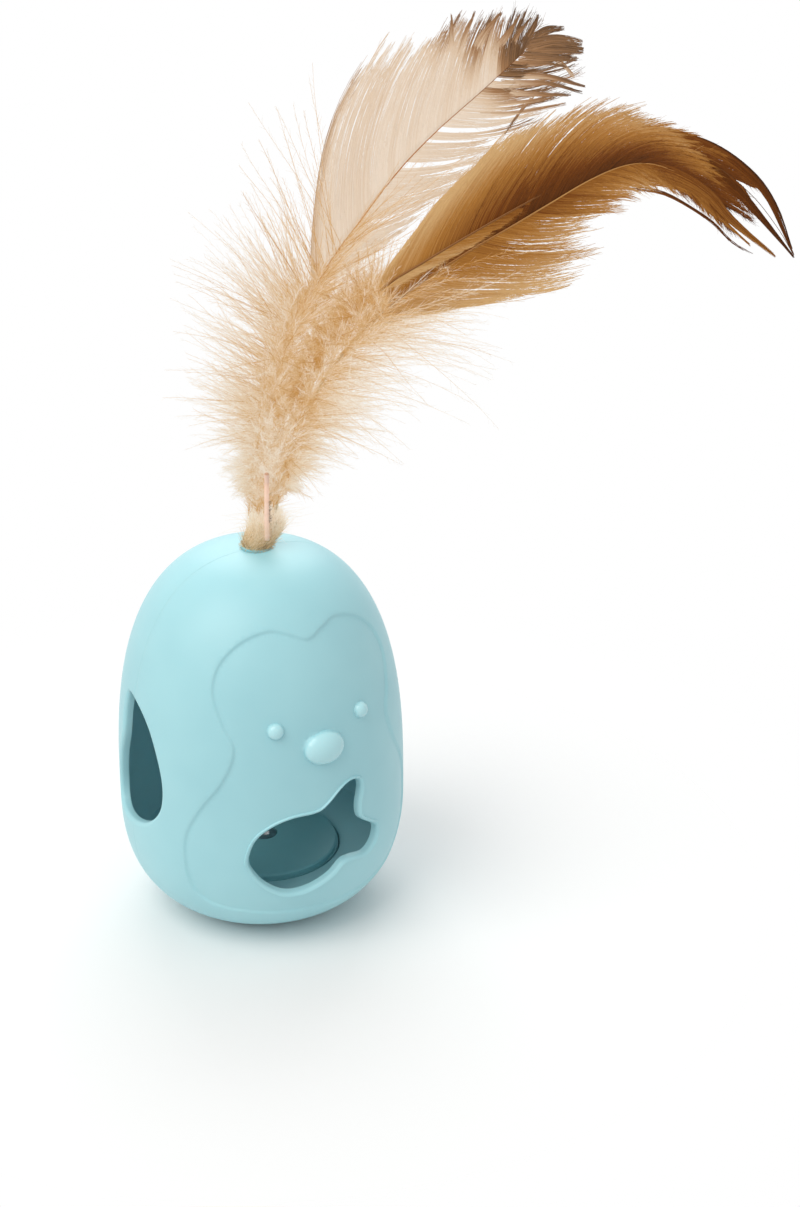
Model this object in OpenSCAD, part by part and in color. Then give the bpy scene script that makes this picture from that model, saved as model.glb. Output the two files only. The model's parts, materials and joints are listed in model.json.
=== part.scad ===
// Treat dispensing wobble toy: a weighted egg with treat holes and a feather crest.
// Millimetres, +Z up, the face on -Y, the origin at the centre of the flat foot.

/* [Shell] */
// Largest radius of the egg
shell_r = 30; // [22:0.5:45]
// Height of the dome above the widest ring
dome_h = 53.5; // [40:0.5:80]
// Depth of the bowl below the widest ring, before the foot cuts it
bowl_h = 28; // [21:0.5:42]
// Depth of the bowl that the flat foot cuts off
foot_cut = 1; // [0.4:0.1:1.6]
// Squareness of the egg's outline, 2 is an ellipse
squareness = 2.7; // [2:0.05:3.2]
// Wall thickness
wall = 2; // [1.2:0.1:3]
// Depth of the tongue that locates the halves
tongue_d = 1.6; // [1:0.1:3]
// Gap round the tongue
tongue_gap = 0.1; // [0.05:0.05:0.3]
// Start of the tongue above the chamber floor
tongue_low = 4; // [2:0.5:8]
// End of the tongue below the wall at the top
tongue_high = 6; // [4:0.5:12]

/* [Face] */
// Depth of the face and belly panel
panel_d = 0.4; // [0.2:0.05:0.8]
// Half spacing of the eyes
eye_x = 9.7; // [6:0.1:13]
// Height of the eyes
eye_z = 52.8; // [45:0.1:62]
// Radius of an eye bead
eye_r = 1.7; // [1:0.1:3]
// How far the eyes stand out
eye_rise = 1; // [0.5:0.1:2]
// Height of the beak
beak_z = 47.8; // [40:0.1:58]
// Half width of the beak
beak_w = 4.5; // [3:0.1:7]
// Half height of the beak
beak_h = 3.5; // [2:0.1:5]
// How far the beak stands out
beak_rise = 2; // [1:0.1:4]

/* [Base] */
// Radius of the base plug
cap_r = 16; // [12:0.5:20]
// Gap round the base plug
cap_gap = 0.3; // [0.2:0.05:0.6]
// Height of the rim that carries the cover
rim_z = 11; // [9:0.5:16]
// Thickness of the plug's wall
cup_wall = 2; // [1.5:0.1:3]
// Thickness of the plug's floor
cup_floor = 3; // [2:0.1:5]
// Height of the chamber floor at the shell's wall
bed_z = 13; // [11:0.5:20]
// Width of a locking lug in degrees
lug_angle = 20; // [12:1:30]
// Turn that unlocks the base in degrees
unlock_angle = 45; // [30:1:60]
// Reach of a lug
lug_out = 1.9; // [1:0.1:3]
// Underside of the lugs
lug_z = 5; // [3:0.1:7]
// Thickness of the lugs
lug_t = 2; // [1:0.1:3]
// Gap round the lugs
lug_gap = 0.3; // [0.2:0.05:0.6]
// Radius of the finger pockets under the plug
grip_r = 9.5; // [7:0.5:11]
// Width of the bar between the pockets
grip_bar = 5; // [3:0.5:8]
// Depth of the pockets
grip_d = 1.8; // [0.8:0.1:2.2]

/* [Weight] */
// Thickness of the weight
weight_h = 7.5; // [4:0.5:10]
// Radius of the boss through the weight
boss_r = 3; // [2.5:0.1:5]
// Gap round the weight
weight_gap = 0.3; // [0.1:0.05:0.6]
// Edge thickness of the cover
cover_t = 1.2; // [0.8:0.1:2]
// Rise of the cover's crown
cover_crown = 1.2; // [0.5:0.1:3]
// Radius of the screw's shank
screw_r = 1.4; // [1:0.1:2]
// Radius of the screw's head
head_r = 2.6; // [2:0.1:4]
// Length of the screw's shank
screw_l = 6.5; // [4:0.5:9]

/* [Crest] */
// Radius of the plug in the top hole
plug_r = 2.4; // [1.8:0.1:4]
// Gap round the plug
plug_gap = 0.3; // [0.1:0.05:0.5]
// Radius of the plug's head
plug_head_r = 3.1; // [2.6:0.1:5]
// Thickness of the plug's head
plug_head_t = 0.5; // [0.4:0.1:1]
// Length of the plug below the top of the shell
plug_l = 5; // [4:0.5:10]
// Radius of the retaining washer
clip_r = 4.6; // [3.5:0.1:7]
// Thickness of the retaining washer
clip_t = 0.8; // [0.5:0.1:1.5]
// Gap between the washer and the top of the shell
clip_gap = 0.5; // [0.4:0.05:0.8]
// Radius of the rounded quill butts
root_r = 1.5; // [1:0.1:2.2]
// Height of the bend point above the top of the shell
bend_h = 1.5; // [1:0.1:3]
// Radius of the thread binding
bind_r = 2.85; // [2.7:0.05:4]
// Height of the thread binding
bind_h = 5; // [4:0.5:6]
// Radius of the fuzzy collar
tuft_r = 3.7; // [3.5:0.1:5]
// Height of the fuzzy collar
tuft_h = 7.2; // [4:0.1:12]

/* [Feathers] */
// Turn of the feathers' plane about the vertical axis
plane_turn = -29.5; // [-90:0.5:90]
// Thickness of a vane
vane_t = 0.6; // [0.5:0.1:1.5]
// Radius of a quill at its root
quill_r = 0.7; // [0.4:0.05:1]
// Radius of a quill at its tip
quill_tip_r = 0.48; // [0.45:0.01:0.6]
// Spacing of the quills from the bundle's axis
quill_ring = 1.25; // [1.1:0.01:1.6]
// Room round the quills in the binding
quill_gap = 0.5; // [0.3:0.05:0.7]
// Gap under the quills' ends
quill_seat = 0.1; // [0.05:0.05:0.3]
// Tip of the pale feather from the bend point, sideways and up
a_tip = [58, 103]; // [0:1:150]
// Lower handle of the pale feather's curve
a_low = [-2, 34]; // [-20:1:150]
// Upper handle of the pale feather's curve
a_high = [13, 68]; // [-20:1:150]
// Tip of the brown feather from the bend point, sideways and up
b_tip = [104, 60]; // [0:1:150]
// Lower handle of the brown feather's curve
b_low = [5, 48]; // [-20:1:150]
// Upper handle of the brown feather's curve
b_high = [64, 101]; // [-20:1:150]
// Tip of the second brown feather from the bend point, sideways and up
c_tip = [100, 59]; // [0:1:150]
// Lower handle of the second brown feather's curve
c_low = [3, 45]; // [-20:1:150]
// Upper handle of the second brown feather's curve
c_high = [60, 94]; // [-20:1:150]
// Width of the pale feather's vane left of its quill
a_left = 17; // [8:0.5:24]
// Width of the pale feather's vane right of its quill
a_right = 10.5; // [6:0.5:16]
// Width of the brown feather's vane above its quill
b_left = 13; // [8:0.5:20]
// Width of the brown feather's vane below its quill
b_right = 10; // [6:0.5:16]
// Width of the second brown feather's vane above its quill
c_left = 10; // [6:0.5:16]
// Width of the second brown feather's vane below its quill
c_right = 9; // [6:0.5:16]
// Hollow across the pale feather's vane
a_camber = 2.5; // [1:0.1:4]
// Hollow across the brown feathers' vanes
b_camber = 2; // [1:0.1:4]
// Distance between the two brown feathers, front to back
feather_depth = 3.5; // [2:0.1:8]
// Further set-back of the second brown feather's tip
c_back = 1.5; // [1:0.1:4]
// Height of the cut quill above the bend point
stub_h = 15; // [8:0.5:30]

/* [Down] */
// Lean of the down's axis in degrees
down_lean = 18; // [10:1:30]
// Height above the bend point where the down's axis leaves the bundle
down_foot = 8; // [6:0.5:12]
// Length of the down along its axis
down_l = 47; // [40:1:60]
// Largest radius of the down
down_r = 24; // [16:1:30]
// Number of wisps round the axis
wisps = 14; // [8:1:24]
// Thickness of a wisp
wisp_t = 0.7; // [0.5:0.1:1.5]
// Bore of the sleeve at its lower end
sleeve_low = 4.6; // [4.2:0.1:6]
// Bore of the sleeve at its upper end
sleeve_high = 6.4; // [6:0.1:9]
// Wall of the sleeve
sleeve_wall = 0.8; // [0.5:0.1:1.5]
// Height of the sleeve's lower end along the down's axis
sleeve_z = 6; // [4:0.5:8]
// Length of the sleeve
sleeve_l = 26; // [20:1:28]
// Margin between the wisps' roots and the sleeve's ends
root_margin = 1; // [0.5:0.1:2]
// Gap between the wisps where the brown feathers leave, in degrees
wisp_gap = 60; // [40:5:90]

/* [Hidden] */
$fn = 64;
far = 200;
// Keeps the start of each revolved surface away from the plane where the halves meet
seam_turn = 40;
profile_steps = 14;
inner_steps = 9;
belly_z = bowl_h - foot_cut;
top_z = belly_z + dome_h;
bore_r = cap_r + cap_gap;
top_bore_r = plug_r + plug_gap;
foot_r = shell_r * pow(1 - pow(belly_z / bowl_h, squareness), 1 / squareness);
weight_r = cap_r - cup_wall - weight_gap;
cover_top = rim_z + cover_t;
bend_z = top_z + bend_h;
hollow_r = root_r + 0.25;
slot_angle = lug_angle + 2;
entry_angle = lug_angle + 1;
slot_top = lug_z + lug_t + lug_gap;
quill_z = bend_z + hollow_r + 0.35;
aqua = [0.66, 0.85, 0.88];
deep_aqua = [0.50, 0.72, 0.76];
steel = [0.62, 0.63, 0.65];
pale_feather = [0.88, 0.79, 0.70];
brown_feather = [0.60, 0.40, 0.22];
down_colour = [0.90, 0.80, 0.65];

// Half of the panel's outline: lobe, waist, belly (x, z), from the notch round to the bottom
panel_half = [
    [0, 69.3], [3.6, 70.6], [7.6, 71.5], [13, 69.6], [17.4, 65.4], [19.4, 60], [18.8, 54], [17.4, 48.8],
    [19.6, 42], [23, 35.5], [25.2, 29], [25.6, 22.5], [24.4, 16], [21, 11.8], [14, 10.2], [6, 9.6], [0, 9.5]
];
// Fish-shaped hole: head, back, tail, belly (x, z)
fish = [
    [-16, 24], [-14.6, 28.6], [-11.5, 31.6], [-7.4, 33.2], [-2, 33.6], [0.5, 34.9], [3.5, 37.4], [5.8, 38.5],
    [8, 38.1], [8.7, 36.2], [7.9, 32.2], [8.3, 29.2], [10.6, 27.1], [13, 25.2], [13.2, 23], [12, 20.9],
    [9.6, 19.9], [6.4, 20.5], [3.7, 20.4], [0.8, 17.8], [-4, 15.5], [-8.6, 15.2], [-12.6, 17.6], [-15.2, 21]
];
// Flipper-shaped side hole (y, z), its tip first
flipper = [
    [3.4, 53], [-1.6, 52], [-6, 48.6], [-9.2, 42.6], [-10.5, 36.5], [-9.4, 31], [-5.2, 26.8], [2, 24.7],
    [8.4, 25.2], [10, 29.4], [7.8, 36.6], [5, 43], [4.6, 48.6]
];

// A closed curve through the points, with n steps between neighbours
function catmull(a, b, c, d, t) = 0.5 * (
    2 * b + (c - a) * t + (2 * a - 5 * b + 4 * c - d) * t * t + (3 * b - a - 3 * c + d) * t * t * t
);
function closed_curve(p, n) = [
    for (i = [0 : len(p) - 1], j = [0 : n - 1])
        catmull(
            p[(i + len(p) - 1) % len(p)], p[i], p[(i + 1) % len(p)], p[(i + 2) % len(p)], j / n
        )
];
function mirrored(half) = concat(
    half, [for (i = [len(half) - 2 : -1 : 1]) [-half[i][0], half[i][1]]]
);

// Outline of the egg moved in by d, from radius r_low at the bottom to r_high at the top
function egg_point(d, h, turn) = [
    (shell_r - d) * pow(cos(turn), 2 / squareness),
    belly_z + sign(h) * (abs(h) - d) * pow(sin(turn), 2 / squareness)
];
function egg_turn(d, r) = acos(pow(r / (shell_r - d), squareness / 2));
function egg_line(d, r_low, r_high, n) = concat(
    [for (i = [n : -1 : 1]) egg_point(d, -bowl_h, egg_turn(d, r_low) * i / n)],
    [for (i = [0 : n]) egg_point(d, dome_h, egg_turn(d, r_high) * i / n)]
);
// Radius of the egg at height z on the dome
function dome_r(z) = shell_r * pow(1 - pow((z - belly_z) / dome_h, squareness), 1 / squareness);
function face_y(x, z) = -sqrt(dome_r(z) * dome_r(z) - x * x);

// A cubic curve from its root by two handles to its tip
function bezier(p, t) = pow(1 - t, 3) * p[0] + 3 * t * pow(1 - t, 2) * p[1]
    + 3 * t * t * (1 - t) * p[2] + pow(t, 3) * p[3];
function slope(p, t) = 3 * pow(1 - t, 2) * (p[1] - p[0]) + 6 * t * (1 - t) * (p[2] - p[1])
    + 3 * t * t * (p[3] - p[2]);
function unit(v) = v / norm(v);
function sideways(v) = [-v[1], v[0]];
function ease(t) = t * t * (3 - 2 * t);

// The egg moved in by d, as one solid
module egg(d) {
    rotate([0, 0, seam_turn])
        rotate_extrude()
            polygon(concat([[0, d]], egg_line(d, foot_r, 0.01, profile_steps), [[0, top_z - d]]));
}

module lug_ring(from, sweep, grow, low, high) {
    for (k = [0 : 2])
        rotate([0, 0, 120 * k + from])
            rotate_extrude(angle = sweep)
                translate([cap_r - 0.5, low])
                    square([lug_out + 0.5 + grow, high - low]);
}

module flipper_holes() {
    for (side = [-1, 1])
        multmatrix([[0, 0, side, 0], [1, 0, 0, 0], [0, 1, 0, 0], [0, 0, 0, 1]])
            linear_extrude(far)
                polygon(closed_curve(flipper, 3));
}

// Both halves of the shell as one hollow body
module shell_wall() {
    inner = [for (p = egg_line(wall, bore_r, top_bore_r, inner_steps)) if (p[1] > bed_z) p];
    difference() {
        rotate([0, 0, seam_turn])
            rotate_extrude()
                polygon(concat(
                    egg_line(0, bore_r, top_bore_r, profile_steps),
                    [for (i = [len(inner) - 1 : -1 : 0]) inner[i]],
                    [[inner[0][0], bed_z], [bore_r, rim_z]]
                ));
        lug_ring(90 - slot_angle / 2, slot_angle + unlock_angle, lug_gap, lug_z - lug_gap, slot_top);
        lug_ring(90 + unlock_angle - entry_angle / 2, entry_angle, lug_gap - 0.05, -1, lug_z + lug_t / 2);
        flipper_holes();
    }
}

module tongue_space(d, grow) {
    intersection() {
        egg(d);
        translate([-far / 2, -1, bed_z + tongue_low - grow])
            cube([far, tongue_d + 1 + grow, top_z - wall - tongue_high - tongue_low - bed_z + 2 * grow]);
    }
}

// A low dome that stands out of the face at (x, z)
module bead(x, z, r, rise) {
    root = wall / 2 + panel_d;
    translate([x, face_y(x, z), z])
        rotate([90, 0, asin(x / dome_r(z))])
            rotate_extrude()
                polygon(concat(
                    [[0, -root], [r, -root]],
                    [for (turn = [0 : 15 : 75]) [r * cos(turn), (rise + panel_d) * sin(turn) - panel_d]],
                    [[r * 0.1, rise], [0, rise]]
                ));
}

module front_shell() color(aqua) {
    difference() {
        intersection() {
            shell_wall();
            union() {
                translate([-far / 2, -far, -1]) cube([far, far, far]);
                tongue_space(wall / 2, 0);
            }
        }
        difference() {
            rotate([90, 0, 0]) linear_extrude(far) polygon(closed_curve(mirrored(panel_half), 3));
            egg(panel_d);
        }
        rotate([90, 0, 0]) linear_extrude(far) polygon(closed_curve(fish, 3));
    }
    for (side = [-1, 1])
        bead(side * eye_x, eye_z, eye_r, eye_rise);
    for (side = [-1, 0, 1])
        bead(side * (beak_w - beak_h), beak_z, beak_h, beak_rise);
}

module rear_shell() color(aqua) {
    difference() {
        intersection() {
            shell_wall();
            translate([-far / 2, 0, -1]) cube([far, far, far]);
        }
        tongue_space(wall / 2 - tongue_gap, tongue_gap);
    }
}

module base_cap() color(deep_aqua) {
    bowl = [for (p = egg_line(0, foot_r, top_bore_r, 40)) if (p[0] < cap_r && p[1] < belly_z) p];
    // A foot wider than the plug leaves the plug flat right across
    low = foot_r < cap_r ? bowl : [[cap_r - 0.2, 0]];
    difference() {
        union() {
            rotate_extrude()
                polygon(concat(
                    [[0, 0]], low, [[cap_r, low[len(low) - 1][1] + 0.2], [cap_r, rim_z]],
                    [[cap_r - cup_wall, rim_z], [cap_r - cup_wall, cup_floor], [boss_r, cup_floor]],
                    [[boss_r, rim_z - 0.2], [screw_r + 0.05, rim_z - 0.2], [screw_r + 0.05, cup_floor + 1]],
                    [[0, cup_floor + 1]]
                ));
            lug_ring(90 - lug_angle / 2, lug_angle, 0, lug_z, lug_z + lug_t);
        }
        difference() {
            translate([0, 0, -1]) cylinder(h = grip_d + 1, r = grip_r);
            translate([-far / 2, -grip_bar / 2, -far / 2]) cube([far, grip_bar, far]);
        }
    }
}

module ballast() color(steel) {
    translate([0, 0, cup_floor])
        difference() {
            cylinder(h = weight_h, r = weight_r);
            translate([0, 0, -1]) cylinder(h = weight_h + 2, r = boss_r + weight_gap);
        }
}

module weight_cover() color(deep_aqua) {
    edge_r = cap_r - 0.3;
    rotate_extrude()
        polygon([
            [screw_r + 0.3, rim_z], [edge_r, rim_z], [edge_r, cover_top - 0.3], [edge_r - 0.4, cover_top],
            [edge_r / 2, cover_top + cover_crown * 0.75], [head_r + 0.3, cover_top + cover_crown],
            [head_r + 0.3, cover_top], [screw_r + 0.3, cover_top]
        ]);
}

module cover_screw() color(steel) {
    difference() {
        union() {
            translate([0, 0, cover_top - screw_l]) cylinder(h = screw_l, r = screw_r);
            translate([0, 0, cover_top]) cylinder(h = 1.1, r = head_r);
        }
        translate([0, 0, cover_top + 0.4]) cylinder(h = 2, r = head_r / 2, $fn = 6);
    }
}

module crest_plug() color(deep_aqua) {
    rotate_extrude()
        polygon([
            [root_r + 0.05, top_z - plug_l + 1], [0, top_z - plug_l + 1], [0, top_z - plug_l],
            [plug_r, top_z - plug_l], [plug_r, top_z], [plug_head_r, top_z],
            [plug_head_r, top_z + plug_head_t], [root_r + 0.05, top_z + plug_head_t]
        ]);
}

module crest_clip() color(steel) {
    translate([0, 0, top_z - wall - clip_t - clip_gap])
        difference() {
            cylinder(h = clip_t, r = clip_r);
            translate([0, 0, -1]) cylinder(h = clip_t + 2, r = plug_r + 0.03);
        }
}

module quill_root() color(pale_feather) {
    translate([0, 0, top_z - plug_l + 1]) cylinder(h = bend_z - top_z + plug_l - 1, r = root_r);
    translate([0, 0, bend_z]) sphere(root_r);
}

module thread_binding() color(down_colour) {
    difference() {
        translate([0, 0, bend_z]) cylinder(h = bind_h, r = bind_r);
        translate([0, 0, bend_z]) sphere(hollow_r);
        translate([0, 0, quill_z]) cylinder(h = bind_h, r = quill_ring + quill_r + quill_gap);
    }
}

module tuft() color(brown_feather) {
    low = bend_z + 0.4;
    rotate_extrude()
        polygon([
            [bind_r + 0.05, low], [tuft_r - 0.6, low], [tuft_r, low + tuft_h * 0.3],
            [tuft_r - 0.1, low + tuft_h * 0.6], [tuft_r - 0.5, low + tuft_h * 0.85],
            [bind_r + 0.3, low + tuft_h], [bind_r + 0.05, low + tuft_h * 0.9]
        ]);
}

module quill_stub() color(pale_feather) {
    rotate([0, 0, plane_turn])
        translate([0, -quill_ring, quill_z])
            difference() {
                cylinder(h = stub_h - quill_z + bend_z, r = quill_r - 0.05);
                translate([0, 0, stub_h - quill_z + bend_z - 1.5]) cylinder(h = 2, r = quill_r - 0.3);
            }
}

// Closes a stack of rings into one solid
function middle(ring) = [for (q = ring) 1] * ring / len(ring);
module skin(rings) {
    m = len(rings[0]);
    n = len(rings) - 1;
    low = (n + 1) * m;
    polyhedron(
        points = concat([for (ring = rings, q = ring) q], [middle(rings[0]), middle(rings[n])]),
        faces = concat(
            [for (k = [0 : m - 1]) [low, k, (k + 1) % m]],
            [for (i = [0 : n - 1], k = [0 : m - 1])
                [i * m + k, (i + 1) * m + k, (i + 1) * m + (k + 1) % m]],
            [for (i = [0 : n - 1], k = [0 : m - 1])
                [i * m + k, (i + 1) * m + (k + 1) % m, i * m + (k + 1) % m]],
            [for (k = [0 : m - 1]) [low + 1, n * m + (k + 1) % m, n * m + k]]
        )
    );
}

// Width of a vane along its length: quick swell, slow fill, blunt tip
function swell(u) = u <= 0 ? 0 : pow(u, 0.45) * pow(max(1 - pow(u, 3.2), 0.0008), 0.55);
function split(u, at) = 1 - 0.45 * exp(-pow((u - at) / 0.018, 2));

// Half of a feather's section, across and deep: edge, web, then round the quill
function half_section(q, h, w, lift) = [
    [w, lift - h], [w / 2 + q / 2, 0.3 * lift - h], [q, -h], [0.7 * q, -0.7 * q]
];
function flip(pts, x, y) = [for (i = [len(pts) - 1 : -1 : 0]) [x * pts[i][0], y * pts[i][1]]];

// One closed feather on a cubic curve: its quill, and its vane from t0 to the tip
module feather(root, low, high, tip, d0, d1, t0, left, right, camber, splits) {
    p = [[root, quill_z - bend_z + quill_seat], low, high, tip];
    sweep = 0.45;
    h = vane_t / 2;
    stations = concat([for (i = [0 : 11]) t0 * i / 12], [for (i = [0 : 40]) t0 + (1 - t0) * i / 40]);
    rings = [
        for (t = stations)
            let (
                u = (t - t0) / (1 - t0), g = swell(u), lift = camber * g, c = bezier(p, t),
                f = unit(slope(p, t)), s = sideways(f), d = d0 + (d1 - d0) * ease(t),
                q = quill_r + (quill_tip_r - quill_r) * t,
                wl = q + 0.1 + left * g * split(u, splits[0]),
                wr = q + 0.1 + right * g * split(u, splits[1]),
                ring = concat(
                    half_section(q, h, wl, lift), [[0, -q]], flip(half_section(q, h, wr, lift), -1, 1),
                    flip(flip(half_section(q, h, wr, -lift), -1, -1), 1, 1), [[0, q]],
                    flip(half_section(q, h, wl, -lift), 1, -1)
                )
            )
            [for (e = ring) [
                c[0] + s[0] * e[0] + f[0] * abs(e[0]) * sweep * min(1, g * 4), d + e[1],
                c[1] + s[1] * e[0] + f[1] * abs(e[0]) * sweep * min(1, g * 4)
            ]]
    ];
    translate([0, 0, bend_z]) rotate([0, 0, plane_turn]) skin(rings);
}

module feather_a() color(pale_feather)
    feather(-quill_ring, a_low, a_high, a_tip, 0, 0, 0.52, a_left, a_right, a_camber, [0.42, 0.6]);

module feather_b() color(brown_feather)
    feather(
        quill_ring, b_low, b_high, b_tip, 0, -feather_depth / 2, 0.42, b_left, b_right, b_camber, [0.8, 0.66]
    );

module feather_c() color(brown_feather)
    feather(
        0, c_low, c_high, c_tip, quill_ring, feather_depth / 2 + c_back, 0.42, c_left, c_right, b_camber,
        [0.3, 0.75]
    );

// Outline of one wisp of down: shares of the down's radius and length, in three lengths and widths
wisp_shape = [
    [0.34, 0.08], [0.54, 0.17], [0.48, 0.24], [0.72, 0.29], [0.64, 0.38], [0.9, 0.43], [0.81, 0.52], [1, 0.6],
    [0.86, 0.67], [0.95, 0.77], [0.71, 0.81], [0.71, 0.92], [0.48, 0.88], [0.41, 1]
];
function wisp_line(k) =
    let (long = down_l * (1 - 0.12 * (k % 3)), wide = down_r * (1 - 0.16 * ((k * 2) % 3)))
    concat(
        [[sleeve_low + sleeve_wall / 2, sleeve_z + root_margin]],
        [for (q = wisp_shape) [max(q[0] * wide, sleeve_high + sleeve_wall), q[1] * long]],
        [[sleeve_high + sleeve_wall / 2, sleeve_z + sleeve_l - root_margin]]
    );

module down_plume() color(down_colour) {
    rotate([0, 0, plane_turn])
        translate([0, 0, bend_z + down_foot])
            rotate([0, down_lean, 0]) {
                translate([0, 0, sleeve_z])
                    difference() {
                        cylinder(h = sleeve_l, r1 = sleeve_low + sleeve_wall, r2 = sleeve_high + sleeve_wall);
                        translate([0, 0, -0.01])
                            cylinder(h = sleeve_l + 0.02, r1 = sleeve_low, r2 = sleeve_high);
                    }
                for (k = [0 : wisps - 1])
                    rotate([0, 0, wisp_gap / 2 + (360 - wisp_gap) * (k + 0.5) / wisps])
                        rotate([90, 0, 0])
                            translate([0, 0, -wisp_t / 2])
                                linear_extrude(wisp_t)
                                    polygon(wisp_line(k));
            }
}

front_shell();
rear_shell();
base_cap();
ballast();
weight_cover();
cover_screw();
crest_plug();
crest_clip();
quill_root();
thread_binding();
tuft();
quill_stub();
feather_a();
feather_b();
feather_c();
down_plume();
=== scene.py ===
"""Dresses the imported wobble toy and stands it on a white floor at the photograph's angle.

The inner rigid pieces keep their CAD solids and get procedural finishes. The two shell halves, the
feathers, the down, the fuzzy collar, the cut quill and the thread winding are numpy surfaces in the
space of their CAD solids. Sizes here are in millimetres until a mesh is written.
"""

from __future__ import annotations

import json
import logging
import math
from dataclasses import dataclass, field
from enum import Enum

import bmesh
import bpy
import numpy as np
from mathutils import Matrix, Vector
from mathutils.geometry import delaunay_2d_cdt

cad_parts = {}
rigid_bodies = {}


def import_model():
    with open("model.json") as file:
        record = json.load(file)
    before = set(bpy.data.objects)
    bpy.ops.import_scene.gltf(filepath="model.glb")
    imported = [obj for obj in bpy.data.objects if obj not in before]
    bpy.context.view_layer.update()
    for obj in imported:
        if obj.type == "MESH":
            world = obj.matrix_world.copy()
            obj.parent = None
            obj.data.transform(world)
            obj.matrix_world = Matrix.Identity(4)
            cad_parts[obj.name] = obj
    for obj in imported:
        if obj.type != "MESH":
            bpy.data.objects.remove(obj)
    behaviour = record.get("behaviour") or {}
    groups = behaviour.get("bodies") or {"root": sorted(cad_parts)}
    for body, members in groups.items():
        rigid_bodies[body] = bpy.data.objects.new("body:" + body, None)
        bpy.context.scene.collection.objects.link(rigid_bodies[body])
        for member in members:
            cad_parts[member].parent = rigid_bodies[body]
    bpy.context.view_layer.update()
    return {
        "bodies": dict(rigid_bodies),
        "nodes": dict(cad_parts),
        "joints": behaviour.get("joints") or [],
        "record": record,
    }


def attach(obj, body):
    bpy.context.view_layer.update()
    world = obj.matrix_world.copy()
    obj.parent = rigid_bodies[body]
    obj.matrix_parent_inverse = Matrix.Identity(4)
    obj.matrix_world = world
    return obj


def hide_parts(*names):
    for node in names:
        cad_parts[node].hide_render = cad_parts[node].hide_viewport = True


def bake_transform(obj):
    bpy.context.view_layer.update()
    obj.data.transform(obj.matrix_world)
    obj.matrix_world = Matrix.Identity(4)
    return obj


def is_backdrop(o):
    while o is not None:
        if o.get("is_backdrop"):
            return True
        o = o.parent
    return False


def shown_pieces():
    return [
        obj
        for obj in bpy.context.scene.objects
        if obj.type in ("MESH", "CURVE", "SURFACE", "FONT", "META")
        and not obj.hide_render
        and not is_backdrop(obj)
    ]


LOG = logging.getLogger("wobble_toy")
MM = 0.001
# Half thickness of a barb in millimetres
BARB_THICK = 0.04


def srgb(code: str) -> tuple[float, float, float, float]:
    """Turns an sRGB hex colour into a linear one with full alpha."""
    part = np.array([int(code[i : i + 2], 16) for i in (1, 3, 5)]) / 255.0
    linear = np.where(part <= 0.04045, part / 12.92, ((part + 0.055) / 1.055) ** 2.4)
    return (*linear.tolist(), 1.0)


def add_node(tree, kind: str, values=None, links=None, stops=None, **settings):
    """Adds one shader node with its settings, socket values, links and colour stops.

    Args:
        tree: The node tree.
        kind: The node's type name.
        values: Socket values by input name or index.
        links: Output sockets to join, by input name or index.
        stops: Pairs of place and sRGB hex for a colour ramp.
        settings: Properties of the node.

    Returns:
        The new node.
    """
    node = tree.nodes.new(kind)
    for key, value in settings.items():
        setattr(node, key, value)
    for key, value in (values or {}).items():
        node.inputs[key].default_value = value
    for key, socket in (links or {}).items():
        tree.links.new(socket, node.inputs[key])
    if stops:
        while len(node.color_ramp.elements) < len(stops):
            node.color_ramp.elements.new(0.5)
        for element, (place, code) in zip(node.color_ramp.elements, stops):
            element.position, element.color = place, srgb(code)
    return node


def new_material(name: str, **values):
    """Starts a material.

    Args:
        name: The material's name.
        values: Values of its main shader's inputs, with underscores for the spaces in their names.

    Returns:
        The material, its node tree and its main shader.
    """
    made = bpy.data.materials.new(name)
    made.use_nodes = True
    body = made.node_tree.nodes["Principled BSDF"]
    for key, value in values.items():
        body.inputs[key.replace("_", " ")].default_value = value
    return made, made.node_tree, body


def clouded(tree, size_m: float, detail: float, low: str, high: str):
    """A colour that drifts between two shades in clouds of that size on Object coordinates."""
    where = add_node(tree, "ShaderNodeTexCoord").outputs["Object"]
    values = {"Scale": 1 / size_m, "Detail": detail}
    cloud = add_node(tree, "ShaderNodeTexNoise", values, {"Vector": where}).outputs["Fac"]
    stops = [(0.3, low), (0.7, high)]
    return add_node(tree, "ShaderNodeValToRGB", None, {"Fac": cloud}, stops).outputs["Color"]


def roughen(tree, body, size_m: float, detail: float, strength: float, depth_m: float) -> None:
    """Gives a shader a fine relief with grains of that size on Object coordinates."""
    where = add_node(tree, "ShaderNodeTexCoord").outputs["Object"]
    values = {"Scale": 1 / size_m, "Detail": detail}
    grain = add_node(tree, "ShaderNodeTexNoise", values, {"Vector": where}).outputs["Fac"]
    values = {"Strength": strength, "Distance": depth_m}
    relief = add_node(tree, "ShaderNodeBump", values, {"Height": grain})
    tree.links.new(relief.outputs["Normal"], body.inputs["Normal"])


def between(pair: tuple[float, float], share: np.ndarray) -> np.ndarray:
    """The value at a share of the way from the pair's first to its second."""
    return pair[0] + (pair[1] - pair[0]) * share


def ease(x: np.ndarray, low: float, high: float) -> np.ndarray:
    """A smooth step from 0 at low to 1 at high."""
    u = np.clip((x - low) / (high - low), 0.0, 1.0)
    return u * u * (3.0 - 2.0 * u)


def unit(v: np.ndarray) -> np.ndarray:
    """The vectors of the last axis at length 1."""
    return v / np.maximum(np.linalg.norm(v, axis=-1, keepdims=True), 1e-9)


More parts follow.
